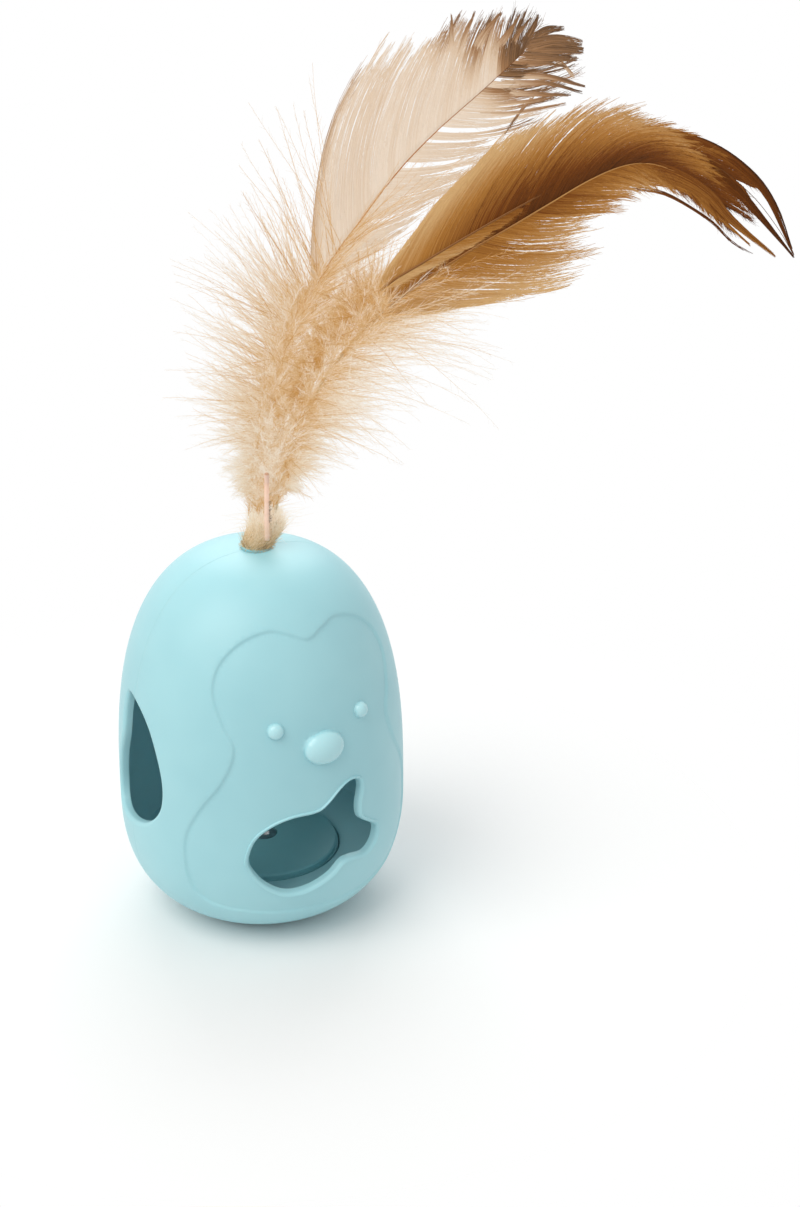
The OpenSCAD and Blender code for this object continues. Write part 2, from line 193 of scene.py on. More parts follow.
def curve_through(points: np.ndarray, steps: int, closed: bool) -> np.ndarray:
    """A Catmull-Rom curve through points, with that many steps between neighbours.

    Args:
        points: The points, one in a row.
        steps: Steps from each point to the next.
        closed: Whether the curve returns to its first point, which isn't repeated.

    Returns:
        The curve's points.
    """
    if closed:
        p = np.vstack([points[-1:], points, points[:2]])
    else:
        p = np.vstack([2 * points[:1] - points[1:2], points, 2 * points[-1:] - points[-2:-1]])
    a, b, c, d = p[:-3, None], p[1:-2, None], p[2:-1, None], p[3:, None]
    t = (np.arange(steps) / steps)[None, :, None]
    curve = 0.5 * (
        2 * b + (c - a) * t + (2 * a - 5 * b + 4 * c - d) * t**2 + (3 * b - a - 3 * c + d) * t**3
    )
    curve = curve.reshape(-1, points.shape[1])
    return curve if closed else np.vstack([curve, points[-1:]])


def respaced(line: np.ndarray, step: float, closed: bool) -> np.ndarray:
    """The line at even steps of about that length; a closed one doesn't repeat its first point."""
    path = np.vstack([line, line[:1]]) if closed else line
    run = np.concatenate([[0.0], np.cumsum(np.linalg.norm(np.diff(path, axis=0), axis=1))])
    count = max(int(round(run[-1] / step)), 4)
    at = np.linspace(0.0, run[-1], count + 1)
    even = np.stack([np.interp(at, run, path[:, k]) for k in range(path.shape[1])], axis=1)
    return even[:-1] if closed else even


def inside(points: np.ndarray, ring: np.ndarray) -> np.ndarray:
    """Whether each point lies in the closed ring, by counting crossings of a ray."""
    x, y = points[:, 0][:, None], points[:, 1][:, None]
    x0, y0 = ring[:, 0][None], ring[:, 1][None]
    x1, y1 = np.roll(ring[:, 0], -1)[None], np.roll(ring[:, 1], -1)[None]
    spans = (y0 > y) != (y1 > y)
    cross = x0 + (y - y0) * (x1 - x0) / np.where(y1 == y0, 1e-12, y1 - y0)
    return (np.sum(spans & (x < cross), axis=1) % 2) == 1


def gap_to(points: np.ndarray, ring: np.ndarray) -> np.ndarray:
    """Distance of each point from the closed ring's line."""
    a, b = ring[None], np.roll(ring, -1, axis=0)[None]
    p = points[:, None, :]
    t = np.sum((p - a) * (b - a), axis=2) / np.maximum(np.sum((b - a) ** 2, axis=2), 1e-12)
    foot = a + np.clip(t, 0.0, 1.0)[..., None] * (b - a)
    return np.sqrt(np.min(np.sum((p - foot) ** 2, axis=2), axis=1))


@dataclass
class Surface:
    """Points in millimetres and faces of one piece, with named values at the points."""

    points: np.ndarray
    faces: list[np.ndarray]
    values: dict[str, np.ndarray] = field(default_factory=dict)

    @staticmethod
    def joined(parts: list["Surface"]) -> "Surface":
        """One surface of several, which keep their own points."""
        shift = np.cumsum([0] + [len(p.points) for p in parts[:-1]])
        return Surface(
            np.concatenate([p.points for p in parts]),
            [f + k for p, k in zip(parts, shift) for f in p.faces],
            {key: np.concatenate([p.values[key] for p in parts]) for key in parts[0].values},
        )

    def to_object(self, name: str, crease_deg: float = 0.0, outward: bool = False):
        """Writes the mesh as an object at the origin.

        Args:
            name: The object's name.
            crease_deg: Edges sharper than this stay sharp; 0 leaves all smooth.
            outward: Turns the faces of a closed mesh outward.

        Returns:
            The new object.
        """
        mesh = bpy.data.meshes.new(name)
        loops = np.concatenate([f.ravel() for f in self.faces]).astype(np.int32)
        sizes = np.concatenate([np.full(len(f), f.shape[1]) for f in self.faces])
        starts = np.concatenate([[0], np.cumsum(sizes)[:-1]]).astype(np.int32)
        mesh.vertices.add(len(self.points))
        mesh.vertices.foreach_set("co", (self.points * MM).astype(np.float32).ravel())
        mesh.loops.add(len(loops))
        mesh.loops.foreach_set("vertex_index", loops)
        mesh.polygons.add(len(sizes))
        mesh.polygons.foreach_set("loop_start", starts)
        mesh.update(calc_edges=True)
        for key, value in self.values.items():
            layer = mesh.attributes.new(key, "FLOAT", "POINT")
            layer.data.foreach_set("value", value.astype(np.float32))
        if outward:
            work = bmesh.new()
            work.from_mesh(mesh)
            bmesh.ops.recalc_face_normals(work, faces=work.faces)
            work.to_mesh(mesh)
            work.free()
        mesh.shade_smooth()
        if crease_deg:
            mesh.set_sharp_from_angle(angle=math.radians(crease_deg))
        piece = bpy.data.objects.new(name, mesh)
        bpy.context.scene.collection.objects.link(piece)
        return piece


def strands(
    path: np.ndarray,
    wide: np.ndarray,
    thick: np.ndarray,
    across: np.ndarray,
    sides: int = 3,
    **values: np.ndarray,
) -> Surface:
    """Many closed tapered strands at once.

    Each ring is an ellipse with half widths wide and thick about a point of the path, wide along the
    part of across that is square to the path; both ends are closed by one face.

    Args:
        path: Strand points, of shape strands, rings, 3.
        wide: Half widths, of shape strands, rings.
        thick: Half thicknesses, of the same shape.
        across: A direction for each strand, or for each ring.
        sides: Points in a ring.
        values: Named values of shape strands, rings.

    Returns:
        The surface.
    """
    n, k, _ = path.shape
    along = unit(np.gradient(path, axis=1))
    side = across if across.ndim == 3 else np.repeat(across[:, None, :], k, axis=1)
    one = unit(side - np.sum(side * along, axis=2, keepdims=True) * along)
    two = np.cross(along, one)
    turn = 2 * np.pi * np.arange(sides) / sides
    ring = (
        path[:, :, None, :]
        + (wide[:, :, None] * np.cos(turn))[..., None] * one[:, :, None, :]
        + (thick[:, :, None] * np.sin(turn))[..., None] * two[:, :, None, :]
    )
    first = (np.arange(n)[:, None, None] * k + np.arange(k - 1)[None, :, None]) * sides
    m = np.arange(sides)[None, None, :]
    after = (m + 1) % sides
    quads = np.stack(
        [first + m, first + after, first + sides + after, first + sides + m], axis=-1
    ).reshape(-1, 4)
    start = (np.arange(n) * k * sides)[:, None] + np.arange(sides)[::-1][None]
    end = (np.arange(n) * k * sides + (k - 1) * sides)[:, None] + np.arange(sides)[None]
    return Surface(
        ring.reshape(-1, 3),
        [quads, start, end],
        {key: np.repeat(v.reshape(-1), sides) for key, v in values.items()},
    )


def tapered(rings: int, size: np.ndarray) -> np.ndarray:
    """Half widths of hairs that thin to 0.3 of their size at the end."""
    return np.linspace(1, 0.3, rings)[None] * size


def hairs(path: np.ndarray, size: np.ndarray, tone: np.ndarray, rng: np.random.Generator) -> Surface:
    """Three-sided hairs along the paths, each turned at random about its own path."""
    return strands(path, size, size, unit(rng.normal(size=(len(path), 3))), 3, tone=tone)


def triangulated(points: np.ndarray, edges: list[tuple[int, int]], close: float):
    """Triangles over points in a plane that keep the given edges.

    Args:
        points: The points, one in a row.
        edges: Pairs of points that stay joined.
        close: Points nearer than this become one.

    Returns:
        The points, the triangles, and for each point those that it came from.
    """
    made = delaunay_2d_cdt([Vector(p) for p in points.tolist()], edges, [], 0, close)
    tris = np.array([face for face in made[2] if len(face) == 3])
    return np.array([tuple(p) for p in made[0]]), tris, made[3]


class Half(Enum):
    """A half of the shell, by the turn of its middle from the face."""

    FRONT = 1.0
    REAR = -1.0


# Half of the sunk panel's outline on the face, as (x, z)
PANEL_HALF = np.array(
    [
        [0, 69.3], [3.6, 70.6], [7.6, 71.5], [13, 69.6], [17.4, 65.4], [19.4, 60], [18.8, 54],
        [17.4, 48.8], [19.6, 42], [23, 35.5], [25.2, 29], [25.6, 22.5], [24.4, 16], [21, 11.8],
        [14, 10.2], [6, 9.6], [0, 9.5],
    ]
)  # fmt: skip
# The fish-shaped hole on the face, as (x, z)
FISH = np.array(
    [
        [-16, 24], [-14.6, 28.6], [-11.5, 31.6], [-7.4, 33.2], [-2, 33.6], [0.5, 34.9], [3.5, 37.4],
        [5.8, 38.5], [8, 38.1], [8.7, 36.2], [7.9, 32.2], [8.3, 29.2], [10.6, 27.1], [13, 25.2],
        [13.2, 23], [12, 20.9], [9.6, 19.9], [6.4, 20.5], [3.7, 20.4], [0.8, 17.8], [-4, 15.5],
        [-8.6, 15.2], [-12.6, 17.6], [-15.2, 21],
    ]
)  # fmt: skip
# The flipper-shaped hole on each side, as (y, z)
FLIPPER = np.array(
    [
        [3.4, 53], [-1.6, 52], [-6, 48.6], [-9.2, 42.6], [-10.5, 36.5], [-9.4, 31], [-5.2, 26.8],
        [2, 24.7], [8.4, 25.2], [10, 29.4], [7.8, 36.6], [5, 43], [4.6, 48.6],
    ]
)  # fmt: skip


class EggForm:
    """The egg's revolved outline, unrolled to (a, s).

    The outline is r = R cos(t)^(2/n) and z = belly +- h sin(t)^(2/n). s runs along it from the bore at
    the bottom to the bore at the top, and a is the turn from the half's middle times R.
    """

    R, BELLY, DOME, BOWL, SQUARE, WALL = 30.0, 27.0, 53.5, 28.0, 2.7, 2.0
    BORE, TOP_BORE, RIM_Z, BED_Z = 16.3, 2.7, 11.0, 13.0
    # The groove for the base plug's lugs, and the lower edge of the top bore, as (radius, height)
    LUG_GROOVE = [(16.3, 4.7), (18.2, 4.7), (18.2, 7.3), (16.3, 7.3)]
    TOP_EDGE = [(2.7, 79.5)]

    def __init__(self) -> None:
        """Tabulates the outline at even steps, with its normals."""
        low = math.acos((self.BORE / self.R) ** (self.SQUARE / 2))
        high = math.acos((self.TOP_BORE / self.R) ** (self.SQUARE / 2))
        turn = np.concatenate(
            [-low * np.linspace(1, 0, 900) ** 1.5, high * np.linspace(0, 1, 1600)[1:] ** 1.5]
        )
        power = 2 / self.SQUARE
        r = self.R * np.cos(turn) ** power
        height = np.where(turn < 0, -self.BOWL, self.DOME)
        z = self.BELLY + height * np.abs(np.sin(turn)) ** power
        line = respaced(np.stack([r, z], axis=1), 0.1, closed=False)
        self.r, self.z = line[:, 0], line[:, 1]
        step = np.linalg.norm(np.diff(line, axis=0), axis=1)
        self.s = np.concatenate([[0.0], np.cumsum(step)])
        slope = unit(np.gradient(line, axis=0))
        soft = np.ones(31) / 31
        padded = np.pad(slope, ((15, 15), (0, 0)), mode="edge")
        soft_slope = [np.convolve(padded[:, k], soft, mode="valid") for k in (0, 1)]
        slope = unit(np.stack(soft_slope, axis=1))
        self.nr, self.nz = slope[:, 1], -slope[:, 0]
        self.top = float(self.s[-1])
        self.edge = self.R * math.pi / 2
        self.bed = float(np.interp(self.BED_Z, self.z - self.WALL * self.nz, self.s))

    def radius(self, s: np.ndarray) -> np.ndarray:
        """Radius of the outline at s."""
        return np.interp(s, self.s, self.r)

    def unrolled(self, turn_of, z: np.ndarray) -> np.ndarray:
        """(a, s) of points at height z whose turn comes from their radius by turn_of."""
        s = np.interp(z, self.z, self.s)
        return np.stack([self.R * turn_of(self.radius(s)), s], axis=1)

    @staticmethod
    def around(half: Half, turn: np.ndarray, r, z) -> np.ndarray:
        """Points at turns from the half's middle, with their radii and heights."""
        k = half.value
        return np.stack([k * r * np.sin(turn), -k * r * np.cos(turn), z + 0 * turn], axis=-1)

    def place(self, half: Half, spot: np.ndarray, lift: np.ndarray | float = 0.0) -> np.ndarray:
        """Points on the outside, raised by lift along the normal."""
        turn, s = spot[..., 0] / self.R, spot[..., 1]
        r = self.radius(s) + lift * np.interp(s, self.s, self.nr)
        z = np.interp(s, self.s, self.z) + lift * np.interp(s, self.s, self.nz)
        return self.around(half, turn, r, z)

    def within(self, half: Half, spot: np.ndarray) -> np.ndarray:
        """Points on the inside: a wall's thickness in, and below the bed on the bed's slope."""
        wall = self.place(half, spot, -self.WALL)
        turn, share = spot[:, 0] / self.R, np.clip(spot[:, 1] / self.bed, 0.0, 1.0)
        inward = self.WALL * np.interp(self.bed, self.s, self.nr)
        end = float(np.interp(self.bed, self.s, self.r) - inward)
        r = self.BORE + (end - self.BORE) * share
        z = self.RIM_Z + (self.BED_Z - self.RIM_Z) * share
        bed = self.around(half, turn, r, z)
        return np.where((spot[:, 1] < self.bed)[:, None], bed, wall)


@dataclass
class ShellHalf:
    """One moulded half of the shell, with rounded hole rims, face panel, eyes and beak.

    Attributes:
        egg: The outline that it follows.
        half: Which half it is.
        grid: Spacing of its points.
        spacing: Spacing of the points along a hole's outline.
        rim: Rounding of a hole's outer edge.
        lip: Rounding of a hole's inner edge.
        groove: Depth and width of the seam's groove.
        panel_d: Depth of the sunk panel.
        panel_soft: Half width of the panel's eased edge.
        eye: x, z, radius and height of an eye.
        beak: x, z, half width, half height and height of the beak.
    """

    # Rings of points on a bead, as shares of its half width, and the spacing in a ring
    BEAD_RINGS = (0.15, 0.35, 0.55, 0.72, 0.85, 0.93, 0.975, 1.0, 1.08)
    BEAD_STEP = 0.32
    # Rows of points beside the panel's edge and inside the seam, in millimetres off them
    PANEL_ROWS = (-0.38, -0.13, 0.13, 0.38)
    SEAM_ROWS = (0.12, 0.3, 0.55)
    # Points on the seam below and above the side hole, round a bore, and in a row beside the seam
    LOW_STEPS, HIGH_STEPS, BORE_STEPS, SEAM_STEPS = 60, 70, 120, 160
    # Spacing along the panel's edge, and the least gap between a free point and an outline
    PANEL_STEP, CLEAR = 0.6, 0.1

    egg: EggForm
    half: Half
    grid: float = 1.0
    spacing: float = 0.55
    rim: float = 0.85
    lip: float = 0.25
    groove: tuple[float, float] = (0.06, 0.16)
    panel_d: float = 0.4
    panel_soft: float = 0.36
    eye: tuple[float, float, float, float] = (9.7, 52.8, 1.7, 1.0)
    beak: tuple[float, float, float, float, float] = (0.0, 47.8, 4.5, 3.5, 2.0)

    def __post_init__(self) -> None:
        """Sets up the outlines in the unrolled plane."""
        egg = self.egg
        self.panel = None
        self.fish = None
        if self.half is Half.FRONT:
            mirrored = PANEL_HALF[-2:0:-1] * np.array([-1, 1])
            panel = curve_through(np.vstack([PANEL_HALF, mirrored]), 10, closed=True)
            self.panel = self._from_face(panel)[::-1]
            fish = self._from_face(curve_through(FISH, 12, closed=True))
            self.fish = respaced(fish, self.spacing, closed=True)
        flipper = curve_through(FLIPPER, 14, closed=True)
        y = -self.half.value * flipper[:, 0]
        hole = egg.unrolled(lambda r: np.arccos(np.clip(y / r, -1, 1)), flipper[:, 1])
        self.flipper = self._cut_at_seam(hole)

    def _from_face(self, line: np.ndarray) -> np.ndarray:
        """A line of (x, z) on the face, unrolled."""
        return self.egg.unrolled(lambda r: np.arcsin(np.clip(line[:, 0] / r, -1, 1)), line[:, 1])

    def _cut_at_seam(self, ring: np.ndarray) -> np.ndarray:
        """The part of the ring on this half, from its lower to its upper crossing of the seam."""
        edge = self.egg.edge
        keep = ring[:, 0] < edge
        start = int(np.flatnonzero(keep & ~np.roll(keep, 1))[0])
        ring, keep = np.roll(ring, -start, axis=0), np.roll(keep, -start)
        count = int(np.argmin(keep)) if not keep.all() else len(ring)
        before, run, after = ring[-1], ring[:count], ring[count]
        ends = [
            p + (q - p) * (edge - p[0]) / (q[0] - p[0]) for p, q in ((before, run[0]), (run[-1], after))
        ]
        line = np.vstack([ends[0], run, ends[1]])
        line = line if line[0, 1] < line[-1, 1] else line[::-1]
        line = respaced(line, self.spacing, closed=False)
        line[[0, -1], 0] = edge
        return line

    def _away(self, line: np.ndarray, closed: bool) -> np.ndarray:
        """Unit steps in (a, s) from a hole's outline into the shell, in true millimetres."""
        if closed:
            slope = np.roll(line, -1, axis=0) - np.roll(line, 1, axis=0)
        else:
            slope = np.gradient(line, axis=0)
        scale = self.egg.radius(line[:, 1]) / self.egg.R
        slope = unit(slope * np.stack([scale, np.ones_like(scale)], axis=1))
        step = np.stack([slope[:, 1], -slope[:, 0]], axis=1)
        middle = line.mean(axis=0) if closed else np.array([self.egg.edge, line[:, 1].mean()])
        if np.mean(np.sum(step * (line - middle), axis=1)) < 0:
            step = -step
        if not closed:
            step[0], step[-1] = (0.0, -1.0), (0.0, 1.0)
        return step / np.stack([scale, np.ones_like(scale)], axis=1)

    def _lift(self, spot: np.ndarray) -> np.ndarray:
        """How far the outside is moved: seam groove, sunk panel, then eyes and beak as low domes."""
        deep, wide = self.groove
        lift = -deep * np.exp(-(((self.egg.edge - np.abs(spot[:, 0])) / wide) ** 2))
        if self.panel is None:
            return lift
        depth = gap_to(spot, self.panel) * np.where(inside(spot, self.panel), 1.0, -1.0)
        lift = lift - self.panel_d * ease(depth, -self.panel_soft, self.panel_soft)
        for far, high in self._bead_gaps(spot):
            dome = (high + self.panel_d) * np.sqrt(np.clip(1 - far**2, 0, 1)) - self.panel_d
            lift = np.where(far < 1, np.maximum(lift, dome), lift)
        return lift

    def _beads(self) -> list[tuple]:
        """Unrolled centre, half width, half height and height of both eyes and the beak."""
        x, z, r, rise = self.eye
        beads = ((x, z, r, r, rise), (-x, z, r, r, rise), self.beak)
        return [(self._from_face(np.array([[bx, bz]]))[0], *rest) for bx, bz, *rest in beads]

    def _bead_gaps(self, spot: np.ndarray) -> list[tuple[np.ndarray, float]]:
        """For each eye and the beak, the distance of the points over its half width, and its height."""
        scale = self.egg.radius(spot[:, 1]) / self.egg.R
        return [
            (np.hypot((spot[:, 0] - centre[0]) * scale / rx, (spot[:, 1] - centre[1]) / rz), high)
            for centre, rx, rz, high in self._beads()
        ]

    def _gloss_and_painted_highlight(self, spot: np.ndarray) -> np.ndarray:
        """1 on the eyes and the beak, which the mould leaves shinier, eased to 0 at their rims; the material
        also paints a paler colour there as a highlight.
        """
        if self.panel is None:
            return np.zeros(len(spot))
        return np.max([ease(far, 1.0, 0.93) for far, _ in self._bead_gaps(spot)], axis=0)

    def _bead_points(self) -> list[np.ndarray]:
        """Rings of points round the eyes and the beak."""
        if self.panel is None:
            return []
        rings = []
        for centre, rx, rz, _ in self._beads():
            scale = float(self.egg.radius(centre[1])) / self.egg.R
            for share in self.BEAD_RINGS:
                count = max(int(2 * math.pi * max(rx, rz) * share / self.BEAD_STEP), 8)
                turn = 2 * np.pi * np.arange(count) / count
                rings.append(
                    centre + share * np.stack([rx * np.cos(turn) / scale, rz * np.sin(turn)], axis=1)
                )
        return rings

    def surface(self) -> Surface:
        """Triangulates the unrolled half, wraps it inside and out and closes every edge."""
        egg, edge, top = self.egg, self.egg.edge, self.egg.top
        away = self._away(self.flipper, closed=False)
        right = self.flipper + self.rim * away
        right[[0, -1], 0] = edge
        below = np.linspace(0, right[0, 1], self.LOW_STEPS + 1)[:-1]
        above = np.linspace(right[-1, 1], top, self.HIGH_STEPS + 1)[1:]
        low, high = (np.stack([np.full_like(s, edge), s], axis=1) for s in (below, above))
        flip = np.array([-1.0, 1.0])
        across = np.linspace(-edge, edge, self.BORE_STEPS + 1)[1:-1]
        bottom = np.stack([across, np.zeros_like(across)], axis=1)
        ceiling = np.stack([across, np.full_like(across, top)], axis=1)
        chains = [bottom, low, right, high, ceiling[::-1]]
        chains += [chain[::-1] * flip for chain in (high, right, low)]
        border = np.vstack(chains)
        rings = [border]
        holes = []
        if self.fish is not None:
            fish_away = self._away(self.fish, closed=True)
            rings.append(self.fish + self.rim * fish_away)
            holes.append(rings[-1])
        if self.panel is not None:
            line = respaced(self.panel, self.PANEL_STEP, closed=True)
            slope = np.roll(line, -1, axis=0) - np.roll(line, 1, axis=0)
            step = unit(np.stack([slope[:, 1], -slope[:, 0]], axis=1))
            rings += [line + shift * step for shift in self.PANEL_ROWS]
        edges, start = [], 0
        for ring in rings:
            count = len(ring)
            edges += [(start + i, start + (i + 1) % count) for i in range(count)]
            start += count
        loose = self._bead_points()
        beside = np.linspace(0.3, top - 0.3, self.SEAM_STEPS)
        for shift in self.SEAM_ROWS:
            seam = np.stack([np.full_like(beside, edge - shift), beside], axis=1)
            loose += [seam * flip, seam]
        row = self.grid * math.sqrt(3) / 2
        rows, columns = np.arange(row, top, row), np.arange(-edge, edge, self.grid)
        v, h = np.meshgrid(rows, columns, indexing="ij")
        h = h + np.where(np.arange(len(v)) % 2, self.grid / 2, 0.0)[:, None]
        loose.append(np.stack([h.ravel(), v.ravel()], axis=1))
        extra = np.vstack(loose)
        extra = extra[inside(extra, border)]
        for hole in holes:
            extra = extra[~inside(extra, hole)]
        fixed = np.vstack(rings)
        near = np.min(np.linalg.norm(extra[:, None, :] - fixed[None, :, :], axis=2), axis=1)
        points = np.vstack([fixed, extra[near > self.CLEAR]])
        spot, tris, sources = triangulated(points, edges, 1e-5)
        index = np.full(len(points), -1)
        for new, old in enumerate(sources):
            index[old] = new
        centre = spot[tris].mean(axis=1)
        keep = inside(centre, border)
        for hole in holes:
            keep &= ~inside(centre, hole)
        tris = tris[keep]
        outer = egg.place(self.half, spot, self._lift(spot))
        inner = egg.within(self.half, spot)
        count = len(spot)
        parts = [outer, inner]
        faces = [tris, tris[:, ::-1] + count]
        total = 2 * count

        def strip(ids: np.ndarray, rows: list[np.ndarray], closed: bool) -> np.ndarray:
            """Bridges outer points to inner points through rows of new points; returns all the ids."""
            nonlocal total
            grid = [ids]
            for points_row in rows:
                parts.append(points_row)
                grid.append(total + np.arange(len(ids)))
                total += len(ids)
            grid.append(ids + count)
            table = np.stack(grid)
            ahead = np.roll(table, -1, axis=1) if closed else table[:, 1:]
            here = table if closed else table[:, :-1]
            faces.append(
                np.stack([here[:-1], ahead[:-1], ahead[1:], here[1:]], axis=-1).reshape(-1, 4)
            )
            return table

        def rim_rows(line: np.ndarray, step: np.ndarray) -> list[np.ndarray]:
            """Rows round a hole's edge: a quarter round, the wall and a small quarter round inside."""
            turn = np.radians([15, 30, 45, 60, 75, 90])
            first = [(self.rim * (1 - math.sin(t)), self.rim * (1 - math.cos(t))) for t in turn]
            last = [
                (self.lip * (1 - math.sin(t)), egg.WALL - self.lip * (1 - math.cos(t)))
                for t in turn[::-1]
            ]
            rows = []
            for e, d in first + last:
                at = line + e * step
                rows.append(egg.place(self.half, at, np.full(len(at), -d)))
            return rows

        def bore_rows(ids: np.ndarray, outline: list[tuple[float, float]]) -> list[np.ndarray]:
            """Rows of (radius, height) round the axis at the turns of the given points."""
            turn = spot[ids, 0] / egg.R
            return [egg.around(self.half, turn, r, z) for r, z in outline]

        names = ["bottom", "low_r", "rim_r", "high_r", "ceiling", "high_l", "rim_l", "low_l"]
        bounds = np.cumsum([0] + [len(c) for c in chains])
        ids = {n: index[bounds[i] : bounds[i + 1]] for i, n in enumerate(names)}
        rim_r = strip(ids["rim_r"], rim_rows(self.flipper, away), closed=False)
        mirrored = rim_rows(self.flipper[::-1] * flip, away[::-1] * flip)
        rim_l = strip(ids["rim_l"], mirrored, closed=False)
        if self.fish is not None:
            loop = index[len(border) : len(border) + len(self.fish)]
            strip(loop, rim_rows(self.fish, fish_away), closed=True)
        foot = np.concatenate([ids["low_l"][-1:], ids["bottom"], ids["low_r"][:1]])
        bore = strip(foot, bore_rows(foot, egg.LUG_GROOVE), closed=False)
        crown = np.concatenate([ids["high_r"][-1:], ids["ceiling"], ids["high_l"][:1]])
        collar = strip(crown, bore_rows(crown, egg.TOP_EDGE), closed=False)
        cloud = np.concatenate(parts)
        for chain, rim, column in (
            (ids["low_r"], rim_r[:, 0], bore[:, -1]),
            (ids["low_l"][::-1], rim_l[:, -1], bore[:, 0]),
        ):
            loop = np.concatenate([chain, rim, chain[::-1] + count, column[1:-1][::-1]])
            faces.append(self._flat_fill(loop, cloud))
        for chain, rim, column in (
            (ids["high_r"], rim_r[:, -1], collar[:, 0]),
            (ids["high_l"][::-1], rim_l[:, 0], collar[:, -1]),
        ):
            loop = np.concatenate([rim[::-1], chain, column[1:-1], chain[::-1] + count])
            faces.append(self._flat_fill(loop, cloud))
        # The same value lowers the roughness and paints a paler colour on the eyes and beak as a highlight
        gloss_and_painted_highlight = np.zeros(len(cloud))
        gloss_and_painted_highlight[:count] = self._gloss_and_painted_highlight(spot)
        return Surface(cloud, faces, {"gloss_and_painted_highlight": gloss_and_painted_highlight})

    @staticmethod
    def _flat_fill(loop: np.ndarray, cloud: np.ndarray) -> np.ndarray:
        """Triangles that fill a closed loop of points lying in the seam's plane."""
        flat = np.stack([np.abs(cloud[loop, 0]), cloud[loop, 2]], axis=1)
        count = len(loop)
        edges = [(i, (i + 1) % count) for i in range(count)]
        spot, tris, sources = triangulated(flat, edges, 1e-6)
        back = np.array([old[0] for old in sources])
        centre = spot[tris].mean(axis=1)
        return loop[back[tris[inside(centre, flat)]]]


@dataclass(frozen=True)
class FeatherPlane:
    """The upright plane in which the feathers fan out, facing the photograph's view."""

    turn_deg: float = -29.5
    bend_z: float = 82.0
    lean_low: float = 0.25
    lean_more: float = 1.95
    lean_z: tuple[float, float] = (80.5, 86.0)

    def world(self, side: np.ndarray, up: np.ndarray, depth: np.ndarray) -> np.ndarray:
        """Points from sideways, up from the bend point, and depth away from the viewer."""
        t = math.radians(self.turn_deg)
        x = side * math.cos(t) - depth * math.sin(t)
        y = side * math.sin(t) + depth * math.cos(t)
        return np.stack([x, y, up + self.bend_z], axis=-1)

    def way(self, side: np.ndarray, up: np.ndarray, depth: np.ndarray) -> np.ndarray:
        """Directions in the same axes."""
        return self.world(side, up, depth) - np.array([0.0, 0.0, self.bend_z])

    def lean(self, z: np.ndarray) -> np.ndarray:
        """Sideways lean of the bound quills, slight at the shell and eased to its full size above."""
        shift = self.lean_low + self.lean_more * ease(z, *self.lean_z)
        return self.way(shift, 0 * shift, 0 * shift)


def runs(sizes: np.ndarray, rng: np.random.Generator) -> np.ndarray:
    """Splits a row of barbs into neighbouring runs of about the given sizes; gives each one's run."""
    cuts, at = np.zeros(len(sizes)), 0.0
    while at < len(sizes) - 1:
        cuts[int(at)] = 1
        at += max(2.0, sizes[int(at)] * rng.uniform(0.5, 1.6))
    return np.cumsum(cuts).astype(int)


@dataclass
class VaneSide:
    """How the barbs stand on one side of a feather's shaft.

    Attributes:
        edge: Where the barbs end, as (millimetres from the shaft's end, distance off the shaft).
        barbs: Number of barbs.
        angle: Degrees between shaft and barb for the first, middle and last of the barbs.
        fine: Barbs that share one pointed end, at the foot and at the tip of the vane.
        coarse: Barbs between slits, at the foot and at the tip of the vane.
        slit: Scatter of those groups' ends along the shaft in millimetres, at the foot and at the tip.
        ragged: Scatter of the barbs' length at the foot and at the tip.
        thin: Share of the fine groups that are left out.
        cover: Ribbon width over the spacing of the barbs.
        tone: Tone at the shaft, at the edge, and at the tip of the feather.
        dark: Millimetres from the shaft's end between which the tip darkens.
        rim: Added tone of the lowest barbs, which lie along the vane's lower edge.
        foot: How much paler the foot of the vane is.
    """

    edge: tuple[tuple[float, float], ...]
    barbs: int
    angle: tuple[float, float, float]
    fine: tuple[float, float]
    coarse: tuple[float, float]
    slit: tuple[float, float]
    ragged: tuple[float, float]
    thin: float
    cover: float
    tone: tuple[float, float, float]
    dark: tuple[float, float]
    rim: float = 0.0
    foot: float = 0.0


